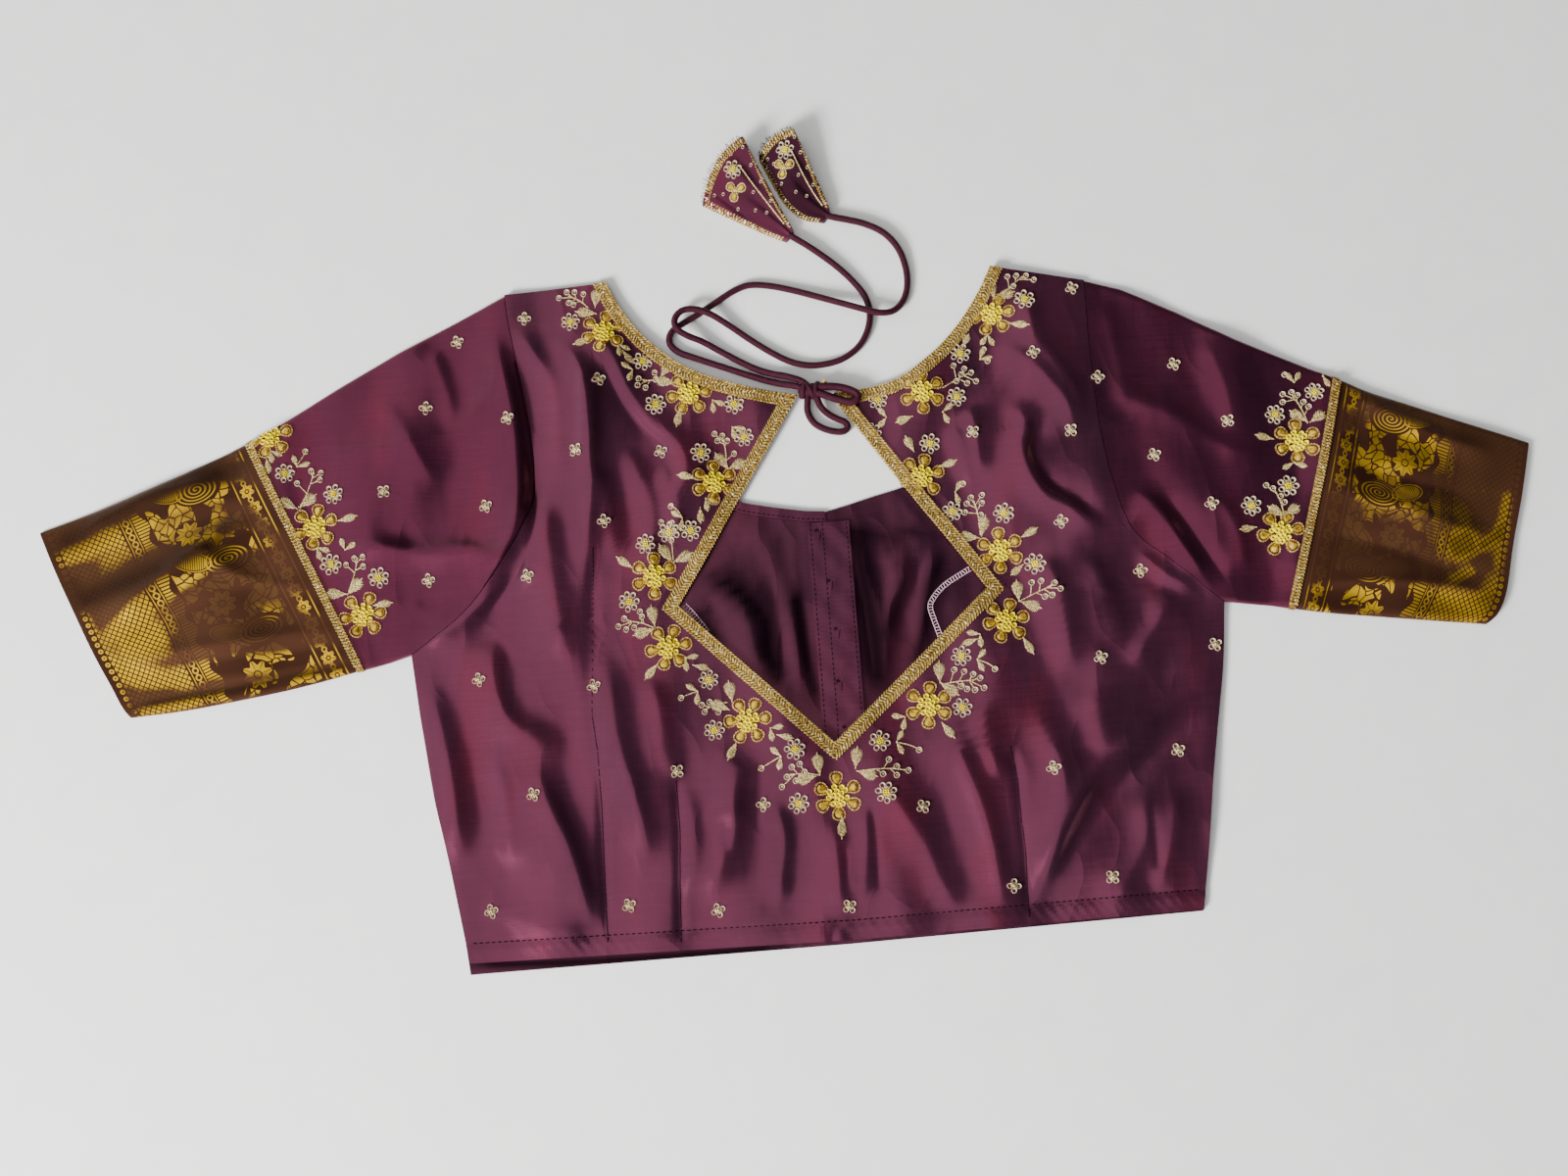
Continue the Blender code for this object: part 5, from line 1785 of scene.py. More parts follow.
# What is sewn on each piece, with the places and directions of this script's own view
STONE_FLOWERS = {
    "back": [
        # photo_x, photo_y, turn_degrees
        (616, 338, 20), (703, 401, 5), (729, 492, 28), (668, 588, 28), (682, 660, 8),
        (763, 735, 0), (855, 812, 30), (948, 719, 24), (1027, 633, 10), (1021, 561, 30),
        (941, 485, 12), (941, 400, 26), (1012, 320, 5),
    ],
    "sleeve_left": [(276, 446, 15), (322, 538, 20), (370, 627, 8)],
    "sleeve_right": [(1323, 450, 24), (1306, 544, 4)],
}
SEQUIN_FLOWERS = {
    "back": [
        # photo_x, photo_y
        (582, 328), (656, 368), (669, 413), (749, 412), (759, 445), (715, 462), (659, 556),
        (705, 542), (683, 544), (642, 614), (723, 693), (729, 745), (811, 765), (815, 820),
        (904, 809), (898, 756), (982, 722), (981, 669), (1056, 575), (1024, 524), (972, 521),
        (949, 452), (890, 440), (896, 407), (1045, 306), (980, 360), (976, 405),
    ],
    "sleeve_left": [(292, 484), (341, 505), (338, 576), (387, 590)],
    "sleeve_right": [(1341, 400), (1301, 423), (1314, 496), (1276, 517)],
}
LEAVES = {
    "back": [
        # photo_x, photo_y, turn_degrees, length, width
        (594, 349, 200, 11, 4.4), (692, 427, -100, 11, 4.4), (700, 487, 170, 11, 4.4),
        (637, 574, 146, 11, 4.4), (664, 686, -128, 11, 4.4), (747, 767, -115, 11, 4.4),
        (859, 845, -90, 12, 4.8), (968, 746, -52, 11, 4.4), (1050, 659, -57, 11, 4.4),
        (1051, 543, 30, 11, 4.4), (968, 472, 20, 11, 4.4), (1040, 332, -10, 11, 4.4),
        (613, 292, 70, 9, 4.4), (641, 365, -52, 9, 4), (715, 527, -88, 9, 4),
        (716, 680, -12, 9, 3.8), (802, 752, -12, 9, 3.8), (989, 655, 200, 9, 3.8),
        (1038, 581, -139, 9, 4), (986, 346, 65, 9, 4), (608, 302, 85, 12, 6.4),
        (597, 318, 175, 12, 6.4), (680, 375, 60, 12, 6.4), (678, 389, 170, 12, 6.4),
        (736, 469, 130, 12, 6.4), (753, 473, 25, 12, 6.4), (679, 564, 127, 12, 6.4),
        (698, 568, 26, 12, 6.4), (666, 627, 100, 12, 6.4), (656, 645, -162, 12, 6.4),
        (745, 704, 100, 12, 6.6), (734, 720, 160, 11, 6.4), (835, 779, 98, 12, 6.4),
        (874, 772, 85, 12, 6.4), (886, 790, -15, 11, 6), (822, 795, 195, 11, 6),
        (959, 684, 93, 12, 6.4), (970, 703, -35, 12, 6.6), (1039, 601, 97, 12, 6.4),
        (1053, 617, -20, 12, 6.4), (1004, 535, 80, 12, 6.4), (988, 547, 175, 12, 6.4),
        (1012, 294, 105, 12, 6.4), (1026, 300, 15, 12, 6.4), (928, 452, 120, 10, 5),
        (922, 428, 200, 10, 5),
    ],
    "sleeve_left": [
        (357, 530, 13, 11, 4.4), (391, 616, 10, 11, 4.4), (275, 478, -80, 9, 4),
        (294, 515, 155, 12, 6.4), (315, 511, 38, 12, 6.4), (342, 606, 180, 12, 6.4),
        (363, 598, 45, 12, 6.4),
    ],
    "sleeve_right": [
        (1289, 446, 170, 11, 4.4), (1324, 424, 145, 11, 6), (1344, 426, 35, 10, 6),
        (1301, 522, 150, 11, 6), (1318, 521, 30, 10, 6), (1272, 540, 190, 10, 4.2),
    ],
}
SMALL_PAIRS = {
    "back": [
        # photo_x, photo_y of the fork, then the two directions
        (631, 352, -20, -80), (727, 408, -20, -85), (747, 435, -10, -75), (720, 509, -15, -80),
        (699, 671, 12, -82), (786, 743, 8, -80), (924, 731, 175, -100), (1000, 647, 172, -85),
        (1008, 341, -60, -125), (646, 378, 150, -110), (697, 530, 150, -100),
        (712, 705, 150, -95), (797, 772, 140, -100), (915, 757, 60, -60), (997, 673, 50, -60),
        (975, 501, 60, -70), (1000, 366, 70, 10), (962, 420, 40, -60), (905, 425, 130, -130),
    ],
    "sleeve_left": [(277, 461, -20, -80), (324, 559, -15, -75), (304, 477, 110, 20),
        (353, 562, 110, 30)],
    "sleeve_right": [(1350, 383, 60, -60), (1320, 472, -20, -150), (1321, 390, 130, 60)],
}
SMALL_LEAF = (7.0, 3.2)
BERRY_STALKS = {
    "back": [
        # photo_x, photo_y of the foot, then of the berry
        (697, 530, 685, 518), (712, 705, 695, 712), (797, 772, 777, 784), (915, 757, 938, 765),
        (997, 673, 1015, 683), (975, 501, 983, 493), (1000, 366, 1008, 368),
        (1000, 366, 1004, 356),
    ],
    "sleeve_left": [(304, 475, 312, 461)],
    "sleeve_right": [(1321, 390, 1311, 382)],
}
SPRIGS = {
    "back": [
        # the foot, then the berries, each as (photo_x, photo_y)
        ((600, 313), ((578, 297), (586, 297), (595, 299), (570, 303), (580, 308), (585, 310))),
        ((682, 388), ((668, 380), (652, 387), (659, 396), (669, 387), (651, 394))),
        ((741, 478), ((729, 442), (737, 444), (742, 449), (732, 449), (749, 462))),
        ((687, 571), ((675, 534), (686, 535), (677, 544), (688, 543), (682, 549))),
        ((667, 640), ((637, 631), (631, 639), (639, 642), (647, 640), (655, 629), (653, 624))),
        ((742, 716), ((716, 719), (719, 726), (733, 726), (724, 716))),
        ((836, 791), ((798, 803), (803, 793), (808, 783), (816, 780), (812, 797), (821, 788))),
        ((874, 787), ((907, 775), (915, 782), (901, 790), (915, 791), (927, 786))),
        ((961, 698), ((974, 683), (984, 685), (993, 688), (1000, 692), (1004, 702), (995, 704),
            (981, 700), (987, 703))),
        ((1040, 613), ((1053, 594), (1062, 593), (1075, 596), (1081, 602), (1073, 608),
            (1066, 609))),
        ((1001, 545), ((1002, 505), (991, 507), (1002, 513), (987, 513), (985, 522), (1001, 525))),
        ((962, 396), ((973, 373), (984, 376), (981, 382), (991, 380), (996, 389), (976, 389),
            (987, 391))),
        ((1018, 304), ((1028, 282), (1037, 281), (1047, 281), (1055, 285), (1034, 292))),
    ],
    "sleeve_left": [
        ((306, 522), ((304, 494), (318, 481), (328, 483), (327, 490))),
        ((356, 603), ((354, 577), (363, 571), (372, 570), (372, 579))),
    ],
    "sleeve_right": [
        ((1334, 432), ((1309, 410), (1309, 402), (1318, 400), (1324, 403), (1330, 410),
            (1335, 415))),
        ((1310, 528), ((1291, 496), (1298, 499), (1306, 507), (1310, 513))),
    ],
}
SCATTERED = {
    "back": [
        # photo_x, photo_y
        (535, 325), (612, 389), (588, 461), (674, 460), (617, 533), (539, 589), (489, 694),
        (606, 700), (691, 787), (545, 811), (779, 821), (501, 930), (642, 924), (733, 929),
        (867, 925), (942, 823), (1035, 904), (1074, 784), (1135, 895), (1203, 765), (1123, 671),
        (1241, 657), (1164, 582), (1082, 533), (1092, 440), (992, 442), (1053, 362), (1094, 293),
    ],
    "sleeve_left": [(435, 417), (519, 429), (393, 503), (496, 517), (437, 592), (466, 348)],
    "sleeve_right": [(1120, 385), (1198, 371), (1251, 431), (1177, 465), (1235, 515)],
}


# Painted highlight and painted shade on the borders' gold, a row for each band: how far it
# reaches on either side of its line, its strength (below nought for painted shade), the line
PAINTED_LIGHT_BANDS = {
    "left": [
        # reach, strength, line of (photo_x, photo_y)
        (5, 1.0, ((56, 572), (82, 562), (108, 550), (138, 537), (170, 518), (207, 504),
            (248, 502), (274, 507))),
        (8, 0.35, ((100, 574), (140, 556), (175, 545), (200, 530), (232, 524))),
        (4.5, 0.6, ((180, 562), (205, 556), (226, 550))),
        (5, 1.0, ((112, 650), (140, 628), (170, 604), (194, 588), (234, 563), (253, 551),
            (270, 556))),
        (12, 0.75, ((122, 664), (145, 655), (166, 642))),
        (5, 0.95, ((104, 676), (140, 690), (181, 692), (213, 684), (261, 678), (301, 673),
            (358, 664))),
        (3.5, 0.7, ((84, 628), (98, 660), (112, 694), (128, 720))),
        (3, 0.8, ((140, 727), (207, 713), (288, 696), (366, 681))),
        (5, 0.7, ((306, 612), (318, 618), (330, 622))),
        (4, 0.7, ((262, 512), (278, 524), (290, 540))),
        (4, 0.5, ((244, 462), (252, 468))),
        (7, 0.3, ((268, 622), (286, 628))),
        (9, -1.0, ((48, 560), (100, 535), (160, 508), (220, 482), (258, 478))),
        (9, -1.0, ((80, 612), (120, 598), (171, 578), (214, 560), (232, 566))),
        (2.4, -0.9, ((134, 721), (230, 704), (367, 676))),
        (5, -0.5, ((70, 588), (86, 620))),
    ],
    "right": [
        (6, 0.6, ((1366, 402), (1384, 412))),
        (13, 1.0, ((1396, 456), (1424, 454), (1460, 464))),
        (24, 0.2, ((1350, 470), (1400, 500), (1450, 520), (1510, 540))),
        (3.5, 0.8, ((1368, 448), (1384, 452))),
        (5, 0.9, ((1370, 478), (1388, 484), (1404, 490))),
        (3, 0.6, ((1380, 504), (1404, 511), (1430, 517))),
        (4, 0.6, ((1430, 492), (1442, 500))),
        (7, 0.95, ((1478, 560), (1504, 553))),
        (3, 0.6, ((1510, 560), (1526, 548), (1536, 536))),
        (3, 0.35, ((1480, 592), (1506, 580))),
        (7.5, 1.0, ((1330, 610), (1365, 613), (1397, 608), (1428, 611), (1470, 616),
            (1515, 619), (1530, 598))),
        (3, 0.5, ((1540, 500), (1535, 540), (1530, 580))),
        (10, -0.4, ((1480, 440), (1530, 460), (1520, 500))),
        (9, -0.4, ((1350, 560), (1400, 570), (1450, 575))),
    ],
}


def sleeve_height(side):
    """The height of a sleeve's upper layer, which falls off at its two folds."""
    tables = (SLEEVE_TOP, SLEEVE_LOW, BORDER_TOP, BORDER_LOW)

    def height_of(spots):
        x, y = spots[..., 0], spots[..., 1]
        gaps = [line_field(x, y, np.array(table[side], float))[0] for table in tables]
        middle = FLAT_TOP / 2
        return middle + (height_at(spots) - middle) * fold_swell(np.min(gaps, axis=0))

    return height_of


def hold_embroidery(carrier):
    """Note all that is sewn on one piece of the garment."""
    for x, y, turn in STONE_FLOWERS[carrier]:
        stone_flower(carrier, seen_at(x, y), math.radians(turn))
    for index, (x, y) in enumerate(SEQUIN_FLOWERS[carrier]):
        sequin_flower(carrier, seen_at(x, y), index * 0.4, 0.97 + wobble(index, 0.06))
    for x, y, turn, length, width in LEAVES[carrier]:
        leaf(carrier, seen_at(x, y), seen_turn(x, y, turn), length, width)
    for x, y, *turns in SMALL_PAIRS[carrier]:
        length, width = SMALL_LEAF
        for turn in turns:
            way = seen_turn(x, y, turn)
            leaf(carrier, seen_at(x, y) + heading(way) * (length / 2 + 0.6), way, length, width)
    stalks = [(row[:2], [row[2:]]) for row in BERRY_STALKS[carrier]]
    for foot, spots in stalks + SPRIGS[carrier]:
        sprig(carrier, seen_at(*foot), [seen_at(*spot) for spot in spots])
    for index, (x, y) in enumerate(SCATTERED[carrier]):
        scattered_flower(carrier, seen_at(x, y), 0.35 + wobble(index, 0.5))


TRIM_GAP = 1.2


def trim_to_sleeve(side):
    """Leave off what lies past a sleeve's upper fold."""
    carrier = "sleeve_" + side
    line = np.array(SLEEVE_TOP[side], float)
    for key in [key for key in sewn if key[0] == carrier]:
        for shape, rows in sewn[key].items():
            spots = np.array(rows)[:, :2]
            gap, _, turn = line_field(spots[:, 0], spots[:, 1], line)
            kept = (turn * OUTWARDS[side] < 0) & (gap > TRIM_GAP)
            sewn[key][shape] = [row for row, keep in zip(rows, kept) if keep]


# Laces

LACE_SEAT = 0.06
LACE_BODY = 0.7
BRAID_LEAN = math.radians(55)
BRAID_GAP = 1.9
# How often a white bead is set on a braid as a painted glint, and how wide it is
GLINT_EVERY = 3
GLINT_WIDE = 1.25
# Each slanted thread's hand and its place as a share of the width, its length as a share of the
# width and its own width as a share of the gap between threads; then the same for the edges' rope
SLANTS = ((1, 0.32), (-1, 0.68))
SLANT_LONG = 0.52
SLANT_WIDE = 0.55
ROPES = (0.05, 0.95)
ROPE_LEAN = 0.6
ROPE_LONG = 1.25
ROPE_WIDE = 0.95


def braid(carrier, pairs, gap, size=1.0, glint_every=GLINT_EVERY):
    """Slanted gold threads that meet along a lace's middle, a rope at each edge, and white beads as
    painted glints.
    """
    pairs = np.array(pairs)
    middles = pairs.mean(axis=1)
    reach = np.concatenate([[0], np.cumsum(np.linalg.norm(np.diff(middles, axis=0), axis=1))])
    count = round(reach[-1] / gap)
    for index in range(count):
        wanted = (index + 0.5) / count * reach[-1]
        a, b = (
            np.array([np.interp(wanted, reach, pairs[:, end, axis]) for axis in (0, 1)])
            for end in (0, 1)
        )
        row = int(np.clip(np.searchsorted(reach, wanted) - 1, 0, len(middles) - 2))
        ahead = middles[row + 1] - middles[row]
        way = turn_of(ahead)
        across = b - a
        wide = np.linalg.norm(across)
        facing = math.copysign(1, left_of(ahead) @ across)
        for hand, place in SLANTS:
            turn = way + hand * facing * BRAID_LEAN + wobble(index, 0.22)
            height = 0.75 + wobble(index * 3 + hand, 0.35)
            long, thick = wide * SLANT_LONG, gap * SLANT_WIDE
            sew(carrier, "gold_lace", "stitch", a + across * place, turn, long, thick, height)
        for place in ROPES:
            turn, long = way + ROPE_LEAN, gap * ROPE_LONG
            spot = a + across * place
            sew(carrier, "gold_lace", "stitch", spot, turn, long, ROPE_WIDE * size, 1.0)
        if index % glint_every == 1:
            spot = a + across * (0.5 + wobble(index, 0.3))
            wide = GLINT_WIDE + wobble(index * 7, 0.55)
            sew(carrier, "white_sequin", "bead", spot, 0, wide, wide, 0.8, 0.45)


def lace_height(spots):
    return height_at(spots) + LACE_SEAT + LACE_BODY


def make_back_lace(name, pairs):
    """A strip of woven gold with its braid, laid on the cloth."""
    braid(name, pairs, BRAID_GAP)
    return strip_over(name, pairs, 4, lace_height, LACE_BODY, "lace_ground", "gold_lace")


def make_back_laces():
    tie = (TIE_ROW - KITE_BOTTOM_ROW) * ROW_STEPS
    bottom = KITE_BOTTOM_ROW * ROW_STEPS
    kite = []
    laces = []
    for side in SIDES:
        edge, start, _ = back_edges(side)
        pairs = np.array(list(zip(edge, start[bottom:])))
        kite = [*pairs[tie:0:-1], *kite] if side == "left" else [*kite, *pairs[: tie + 1]]
        neck = pairs[tie:].copy()
        run = np.linalg.norm(neck[1, 0] - neck[0, 0])
        neck[0] += (neck[1] - neck[0]) * SEAM_GAP / run
        laces.append(make_back_lace("lace_neck_" + side, neck))
    laces.append(make_back_lace("lace_kite", kite))
    return laces


# The sleeve's lace: its width, the rows of its tube from its inner edge on, the thickness of its
# edges and of its wall, the share of the seam that its braid covers, and how seldom it gets a
# painted glint bead
SLEEVE_LACE_WIDE = 4.5
SLEEVE_LACE_ROWS = (0.2, 0.6, 2.9, SLEEVE_LACE_WIDE - 0.4, SLEEVE_LACE_WIDE)
SLEEVE_LACE_EDGE = 0.25
SLEEVE_LACE_WALL = 0.2
SLEEVE_BRAID = (0.012, 0.988)
SLEEVE_GLINT_EVERY = 7


def make_sleeve_lace(side):
    """The lace round a sleeve, over the last of the silk, with braid on its upper side."""
    name = "lace_sleeve_" + side
    high, low = (np.array(table[side][-1], float) for table in (SLEEVE_TOP, SLEEVE_LOW))
    along_top = unit(np.array(SLEEVE_TOP[side][-2], float) - high)
    along_low = unit(np.array(SLEEVE_LOW[side][-2], float) - low)
    middle = LACE_LIFT + FLAT_TOP / 2
    rings = []
    for reach in SLEEVE_LACE_ROWS:
        start = high + along_top * reach / abs(along_top[0])
        end = low + along_low * reach / abs(along_low[0])
        run = end - start
        wide = np.linalg.norm(run)
        at_edge = reach in (SLEEVE_LACE_ROWS[0], SLEEVE_LACE_ROWS[-1])
        thick = SLEEVE_LACE_EDGE if at_edge else LACE_BODY
        shares = fold_shares(wide, 50)
        spots = start - unit(run) * thick + (run + 2 * unit(run) * thick) * shares[:, None]
        swell = fold_swell(np.minimum(shares, 1 - shares) * wide)
        upper = middle + (height_at(spots) + thick - middle) * swell
        rings.append(ring_over(spots, upper, middle - (FLAT_TOP / 2 + thick) * swell))
    rings += [thinned(ring, middle, SLEEVE_LACE_WALL) for ring in (rings[-1], rings[0])]
    count = len(rings[0])
    starts = [row * count for row in range(len(rings))]
    faces = faces_round(list(zip(starts, starts[1:] + starts[:1])), count)
    mesh = mesh_from(name, np.vstack(rings), faces, 50)
    lace = add_piece(name, mesh, FINISHES["lace_ground"], "gold_lace", name)
    pairs = []
    for share in np.linspace(*SLEEVE_BRAID, 60):
        a = high + (low - high) * share
        way = along_top * (1 - share) + along_low * share
        pairs.append((a + way * 0.4, a + way * (SLEEVE_LACE_WIDE - 0.2)))
    braid(name, pairs, BRAID_GAP, 0.9, SLEEVE_GLINT_EVERY)
    return lace


# Hangers

LATKAN_STATIONS = 46
LATKAN_ACROSS = 51
LATKAN_WALL = 0.8
LATKAN_THINNED = 0.7
# Over which share of the width the high fold swells and how roundly, its two sets of dents, and
# how fast the rims fall
LATKAN_FOLD = 0.06
LATKAN_ROUND = 0.6
LATKAN_DENT = 0.5
LATKAN_RIPPLE = 0.3
LATKAN_RIM = 30


def latkan_rows(name):
    """The hanger's upper side as rows of points, from its tip to its open end."""
    table = LATKANS[name]
    stations = np.linspace(0, 1, LATKAN_STATIONS)
    high = along(smooth([row[:2] for row in table]), stations)
    low = along(smooth([row[2:4] for row in table]), stations)
    heights = np.interp(stations, np.linspace(0, 1, len(table)), [row[4] for row in table])
    axis = (high[-1] + low[-1] - high[0] - low[0]) / 2
    axis = axis / np.linalg.norm(axis)
    rows = []
    for s, high_point, low_point, height in zip(stations, high, low, heights):
        t = (1 - np.cos(math.pi * np.linspace(0, 1, LATKAN_ACROSS))) / 2
        spots = high_point + (low_point - high_point) * t[:, None]
        spots = spots + axis * LATKAN_BULGE[name] * s * np.sin(math.pi * t)[:, None]
        swell = np.clip(t / LATKAN_FOLD, 0, 1) ** LATKAN_ROUND * (1 - t) ** LATKAN_FULLNESS
        dent = LATKAN_DENT * s * np.sin(9 * t + 5 * s) + LATKAN_RIPPLE * np.sin(17 * t - 7 * s)
        tops = FLAT_TOP + (height - FLAT_TOP) * swell + dent * swell
        rim = np.clip(np.minimum(t, 1 - t) * LATKAN_RIM, 0, 1) ** 0.5
        rows.append(np.column_stack([spots, tops * rim + LATKAN_LIFT]))
    return np.array(rows)


def latkan_height(rows):
    """A reader of the hanger's height at plan points."""
    known = rows[::2, ::2].reshape(-1, 3)

    def height_of(spots):
        flat = spots.reshape(-1, 2)
        found = np.zeros(len(flat))
        for start in range(0, len(flat), 400):
            part = flat[start : start + 400]
            gaps = ((part[:, None, :] - known[None, :, :2]) ** 2).sum(axis=2)
            nearest = np.argsort(gaps, axis=1)[:, :4]
            weights = 1 / (np.take_along_axis(gaps, nearest, axis=1) + 0.02)
            heights = (known[nearest, 2] * weights).sum(axis=1) / weights.sum(axis=1)
            found[start : start + 400] = heights
        return found.reshape(spots.shape[:-1])

    return height_of


def make_latkan(name):
    rows = latkan_rows(name)
    rings = [ring_over(row[:, :2], row[:, 2], np.full(len(row), LATKAN_LIFT)) for row in rows]
    inner = []
    for ring in rings:
        within = thinned(ring, (ring[:, 2].max() + LATKAN_LIFT) / 2, LATKAN_WALL, LATKAN_THINNED)
        run = ring[:, :2].mean(axis=0) - ring[:, :2]
        far = np.maximum(1e-6, np.linalg.norm(run, axis=1))[:, None]
        within[:, :2] += run / far * LATKAN_WALL * LATKAN_THINNED
        inner.append(within)
    mesh = walled_tube(name, rings, inner, 70, False)
    # The right hanger gets the darker copy of the silk: painted shadow of the left hanger over it
    finish = FINISHES["painted_shadow_silk" if name == "latkan_right" else "sleeve_silk"]
    return add_piece(name, mesh, finish, "silk", name), rows


def on_latkan(rows, s, t):
    """The plan point at shares of the hanger's length and width."""
    here = rows[int(round(s * (LATKAN_STATIONS - 1)))]
    across = np.arccos(1 - 2 * t) / math.pi * (LATKAN_ACROSS - 1)
    return np.array([np.interp(across, range(LATKAN_ACROSS), here[:, axis]) for axis in (0, 1)])


LATKAN_SEQUINS = [
    # share of the length, share of the width
    (0.93, 0.30), (0.80, 0.78), (0.66, 0.62), (0.54, 0.40), (0.42, 0.66), (0.74, 0.14),
    (0.55, 0.14), (0.36, 0.20), (0.88, 0.86), (0.30, 0.50), (0.60, 0.84), (0.92, 0.12),
]
# The rest of what is sewn on a hanger, in shares of its length or width: its laces and raw
# threads run from one share to another, and each lace has an outer edge and an inner one
END_LACE = (0.995, 0.93)
END_LACE_RUN = (0.05, 0.95)
HIGH_LACE_EDGE = 0.015
HIGH_LACE_RUN = (0.04, 0.93)
LOW_LACE = (0.995, 0.95)
LOW_LACE_RUN = (0.04, 0.97)
RAW_RUN = (0.02, 0.98)
COUCHED_AT = 0.30
COUCHED_RUN = (0.12, 0.80)
LATKAN_FLOWER = (0.82, 0.42)
LATKAN_STONES = (0.68, 0.62)
# The directions of its stone petals in radians, the gap between the threads of its wider braids,
# and its raw threads' length and number
LATKAN_PETALS = (0.4, 2.4, 4.4)
LATKAN_GAP = 1.7
RAW_LONG = 3.2
RAW_THREADS = 34


def sew_latkan(name, rows):
    """The hanger's laces along its open end and its high fold, and its small flowers."""

    def at(s, t):
        return on_latkan(rows, s, t)

    end = [[at(s, t) for s in END_LACE] for t in np.linspace(*END_LACE_RUN, 40)]
    high = [
        (at(s, HIGH_LACE_EDGE), at(s, 0.05 + 0.16 * (1 - s) ** 1.4))
        for s in np.linspace(*HIGH_LACE_RUN, 50)
    ]
    low = [[at(s, t) for t in LOW_LACE] for s in np.linspace(*LOW_LACE_RUN, 40)]
    braid(name, end, LATKAN_GAP, 0.8)
    braid(name, high, LATKAN_GAP, 0.8)
    braid(name, low, BRAID_GAP, 0.7)
    tip = (rows[0][0] + rows[0][-1])[:2] / 2
    for index, t in enumerate(np.linspace(*RAW_RUN, RAW_THREADS)):
        rim = at(1.0, t)
        turn = turn_of(rim - tip) + wobble(index, 0.6)
        reach = RAW_LONG + wobble(index * 3, 1.6)
        middle = rim + heading(turn) * reach * 0.3
        sew(name, "dark_thread", "stitch", middle, turn, reach, 0.34, 0.3, -0.1)
    couched = [at(s, COUCHED_AT) for s in np.linspace(*COUCHED_RUN, 24)]
    thread_line(name, "gold_thread", couched, "couched")
    sequin_flower(name, at(*LATKAN_FLOWER), 0.3, 0.9)
    for way in LATKAN_PETALS:
        stone_petal(name, at(*LATKAN_STONES), way, "small petal")
    for s, t in LATKAN_SEQUINS:
        sew(name, "white_sequin", "sequin", at(s, t), 0, *SIZES["hanger sequin"])


# Light and floor

FLOOR_HALF = 3000


def make_floor():
    corners = [(x * FLOOR_HALF, y * FLOOR_HALF, 0) for x, y in ((-1, -1), (1, -1), (1, 1), (-1, 1))]
    mesh = mesh_from("floor", corners, [(0, 1, 2, 3)])
    mesh.materials.append(FINISHES["floor"])
    piece = bpy.data.objects.new("floor", mesh)
    bpy.context.scene.collection.objects.link(piece)


LIGHTS = [
    # name, place, size, power, whether it gleams on what it lights
    ("key", (-1.5, -1.25, 1.1), 0.6, 130, False),
    ("glint", (-1.2, -1.1, 1.6), 0.9, 4, True),
]


def make_light(name, place, size, power, glossy):
    """A square light that faces the middle of the scene."""
    data = bpy.data.lights.new(name, "AREA")
    data.size = size
    data.energy = power
    piece = bpy.data.objects.new(name, data)
    ray = -Vector(place)
    piece.location = place
    piece.rotation_euler = ray.to_track_quat("-Z", "Y").to_euler()
    piece.visible_glossy = glossy
    bpy.context.scene.collection.objects.link(piece)


# The way to the sky's light side, how far along it the dark ends and the full light starts, the
# dark side's share of the light, and the strength of the whole
SKY_WAY = (-1.0, -0.3, 0.0)
SKY_DARK_AT = -0.27
SKY_LIGHT_AT = 0.04
SKY_DARK = 0.05
SKY_STRENGTH = 1.15


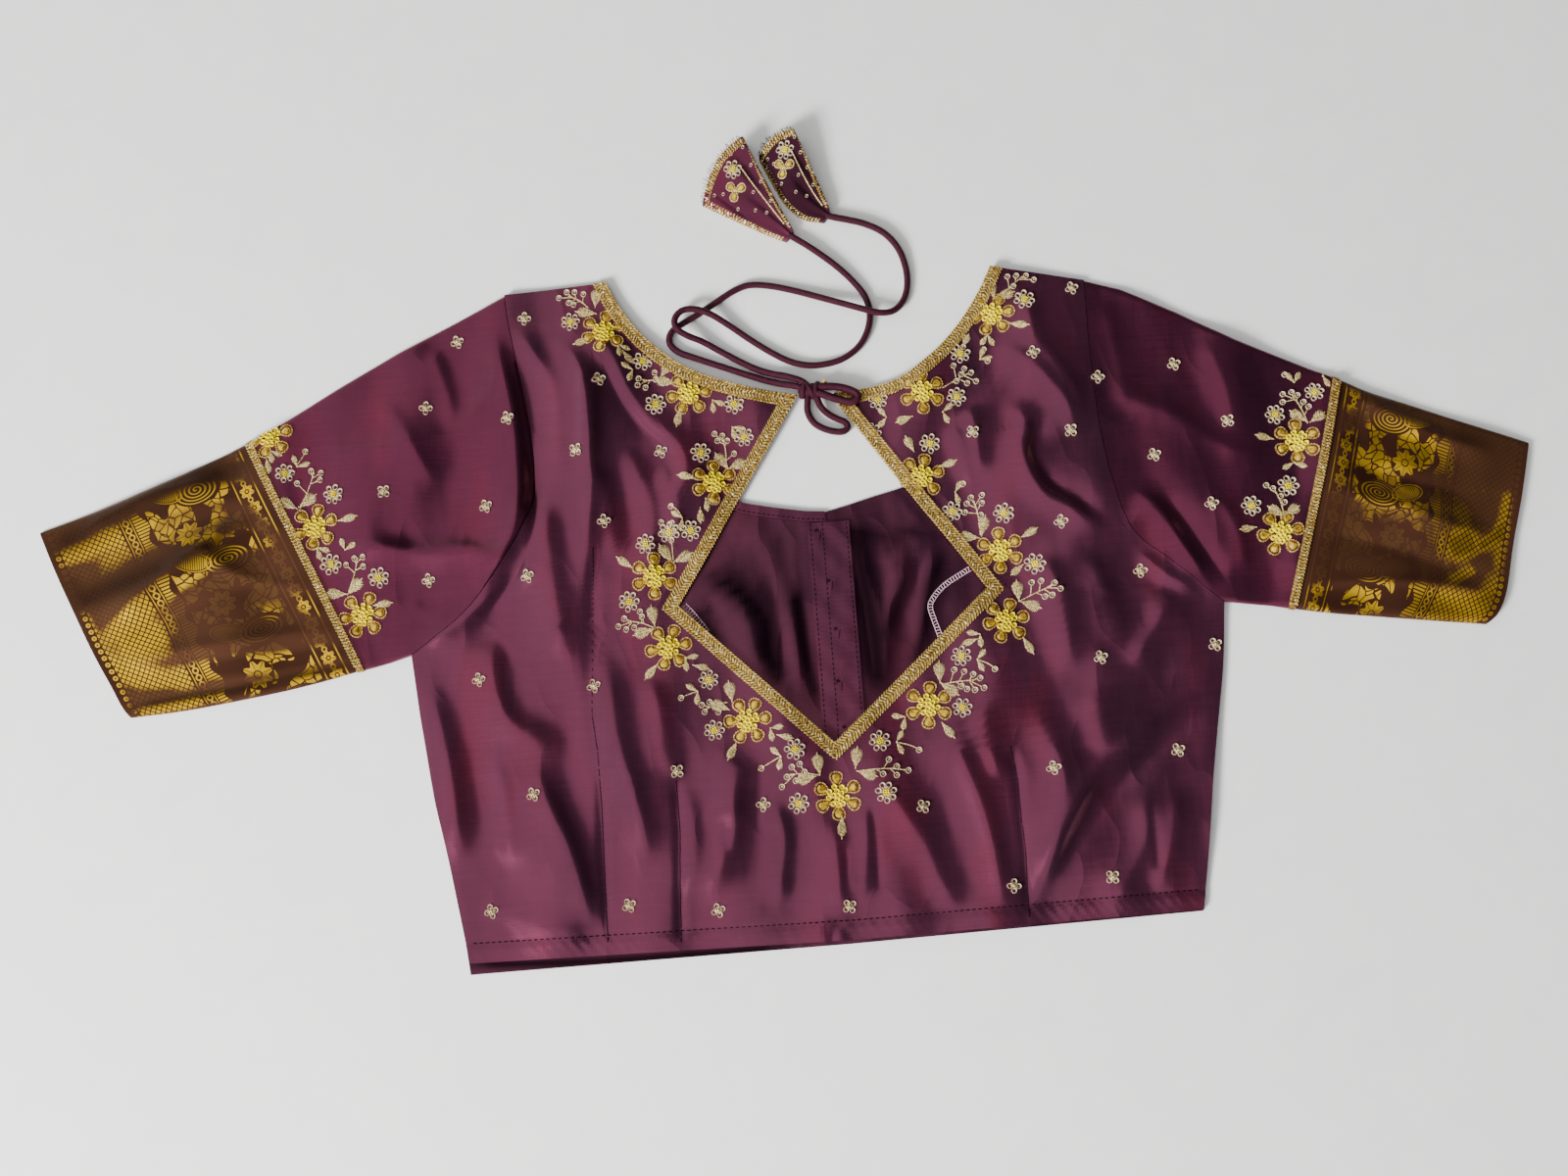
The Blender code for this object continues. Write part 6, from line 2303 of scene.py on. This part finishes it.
def make_world():
    """A sky that is light on one side and dim on the other."""
    world = bpy.data.worlds.new("world")
    world.use_nodes = True
    nodes = world.node_tree.nodes
    links = world.node_tree.links
    place = nodes.new("ShaderNodeTexCoord")
    along_sky = nodes.new("ShaderNodeVectorMath")
    along_sky.operation = "DOT_PRODUCT"
    along_sky.inputs[1].default_value = SKY_WAY
    links.new(place.outputs["Generated"], along_sky.inputs[0])
    share = nodes.new("ShaderNodeMapRange")
    share.interpolation_type = "SMOOTHSTEP"
    share.inputs["From Min"].default_value = SKY_DARK_AT
    share.inputs["From Max"].default_value = SKY_LIGHT_AT
    share.inputs["To Min"].default_value = SKY_DARK
    links.new(along_sky.outputs["Value"], share.inputs["Value"])
    links.new(share.outputs["Result"], nodes["Background"].inputs["Color"])
    nodes["Background"].inputs["Strength"].default_value = SKY_STRENGTH
    bpy.context.scene.world = world


make_camera()
cords = {name: make_cord(name, route, 2.5, CORD_THICK) for name, route in CORD_ROUTES.items()}
for name, route in BOW_ROUTES.items():
    make_cord(name, route, 2.0, BOW_THICK[name])
make_knot()
back = make_back()
fronts = {side: make_front(side) for side in SIDES}
sleeves = {side: make_sleeve(side) for side in SIDES}
placket, binding = make_front_trim()
back_laces = make_back_laces()
latkans = {name: make_latkan(name) for name in LATKANS}
sew_hem()
sew("knot", "gold_lace", "bead", KNOT_BEAD[:2], 0, *SIZES["knot bead"])
for half in SIDES:
    make_sleeve_lace(half)
    hold_embroidery("sleeve_" + half)
    trim_to_sleeve(half)
    sew_overlock(half)
hold_embroidery("back")
for name, (_, rows) in latkans.items():
    sew_latkan(name, rows)

HEIGHTS = {
    "back": height_at,
    "placket": placket_height,
    "binding_front": flat_at(PLACKET_TOP),
    "lace_kite": lace_height,
    "knot": flat_at(KNOT_BEAD[2]),
}
for half in SIDES:
    HEIGHTS["front_" + half] = front_height
    HEIGHTS["sleeve_" + half] = sleeve_height(half)
    HEIGHTS["lace_neck_" + half] = lace_height
    HEIGHTS["lace_sleeve_" + half] = lace_height
    HEIGHTS["latkan_" + half] = latkan_height(latkans["latkan_" + half][1])
trims = {}
for carrier, kind in sorted(sewn):
    name = kind + "_on_" + carrier
    mesh = sewn_mesh(name, sewn[(carrier, kind)], HEIGHTS[carrier])
    slot = "lining" if kind == "dark_thread" else kind
    trims.setdefault(carrier, []).append(add_piece(name, mesh, FINISHES[kind], slot))

for name, (cord, points) in cords.items():
    hanger = "latkan_" + name.split("_")[1]
    tuple(points[0] * MM)
    length_of(points) * MM

make_floor()
for light in LIGHTS:
    make_light(*light)
make_world()

# Each sheet as it was cut: its width and length, and its area where it isn't a rectangle, in
# metres. The sleeves, borders and hangers are given as their cloth all round.
for half, (silk, border) in sleeves.items():
    hanger = "latkan_" + half
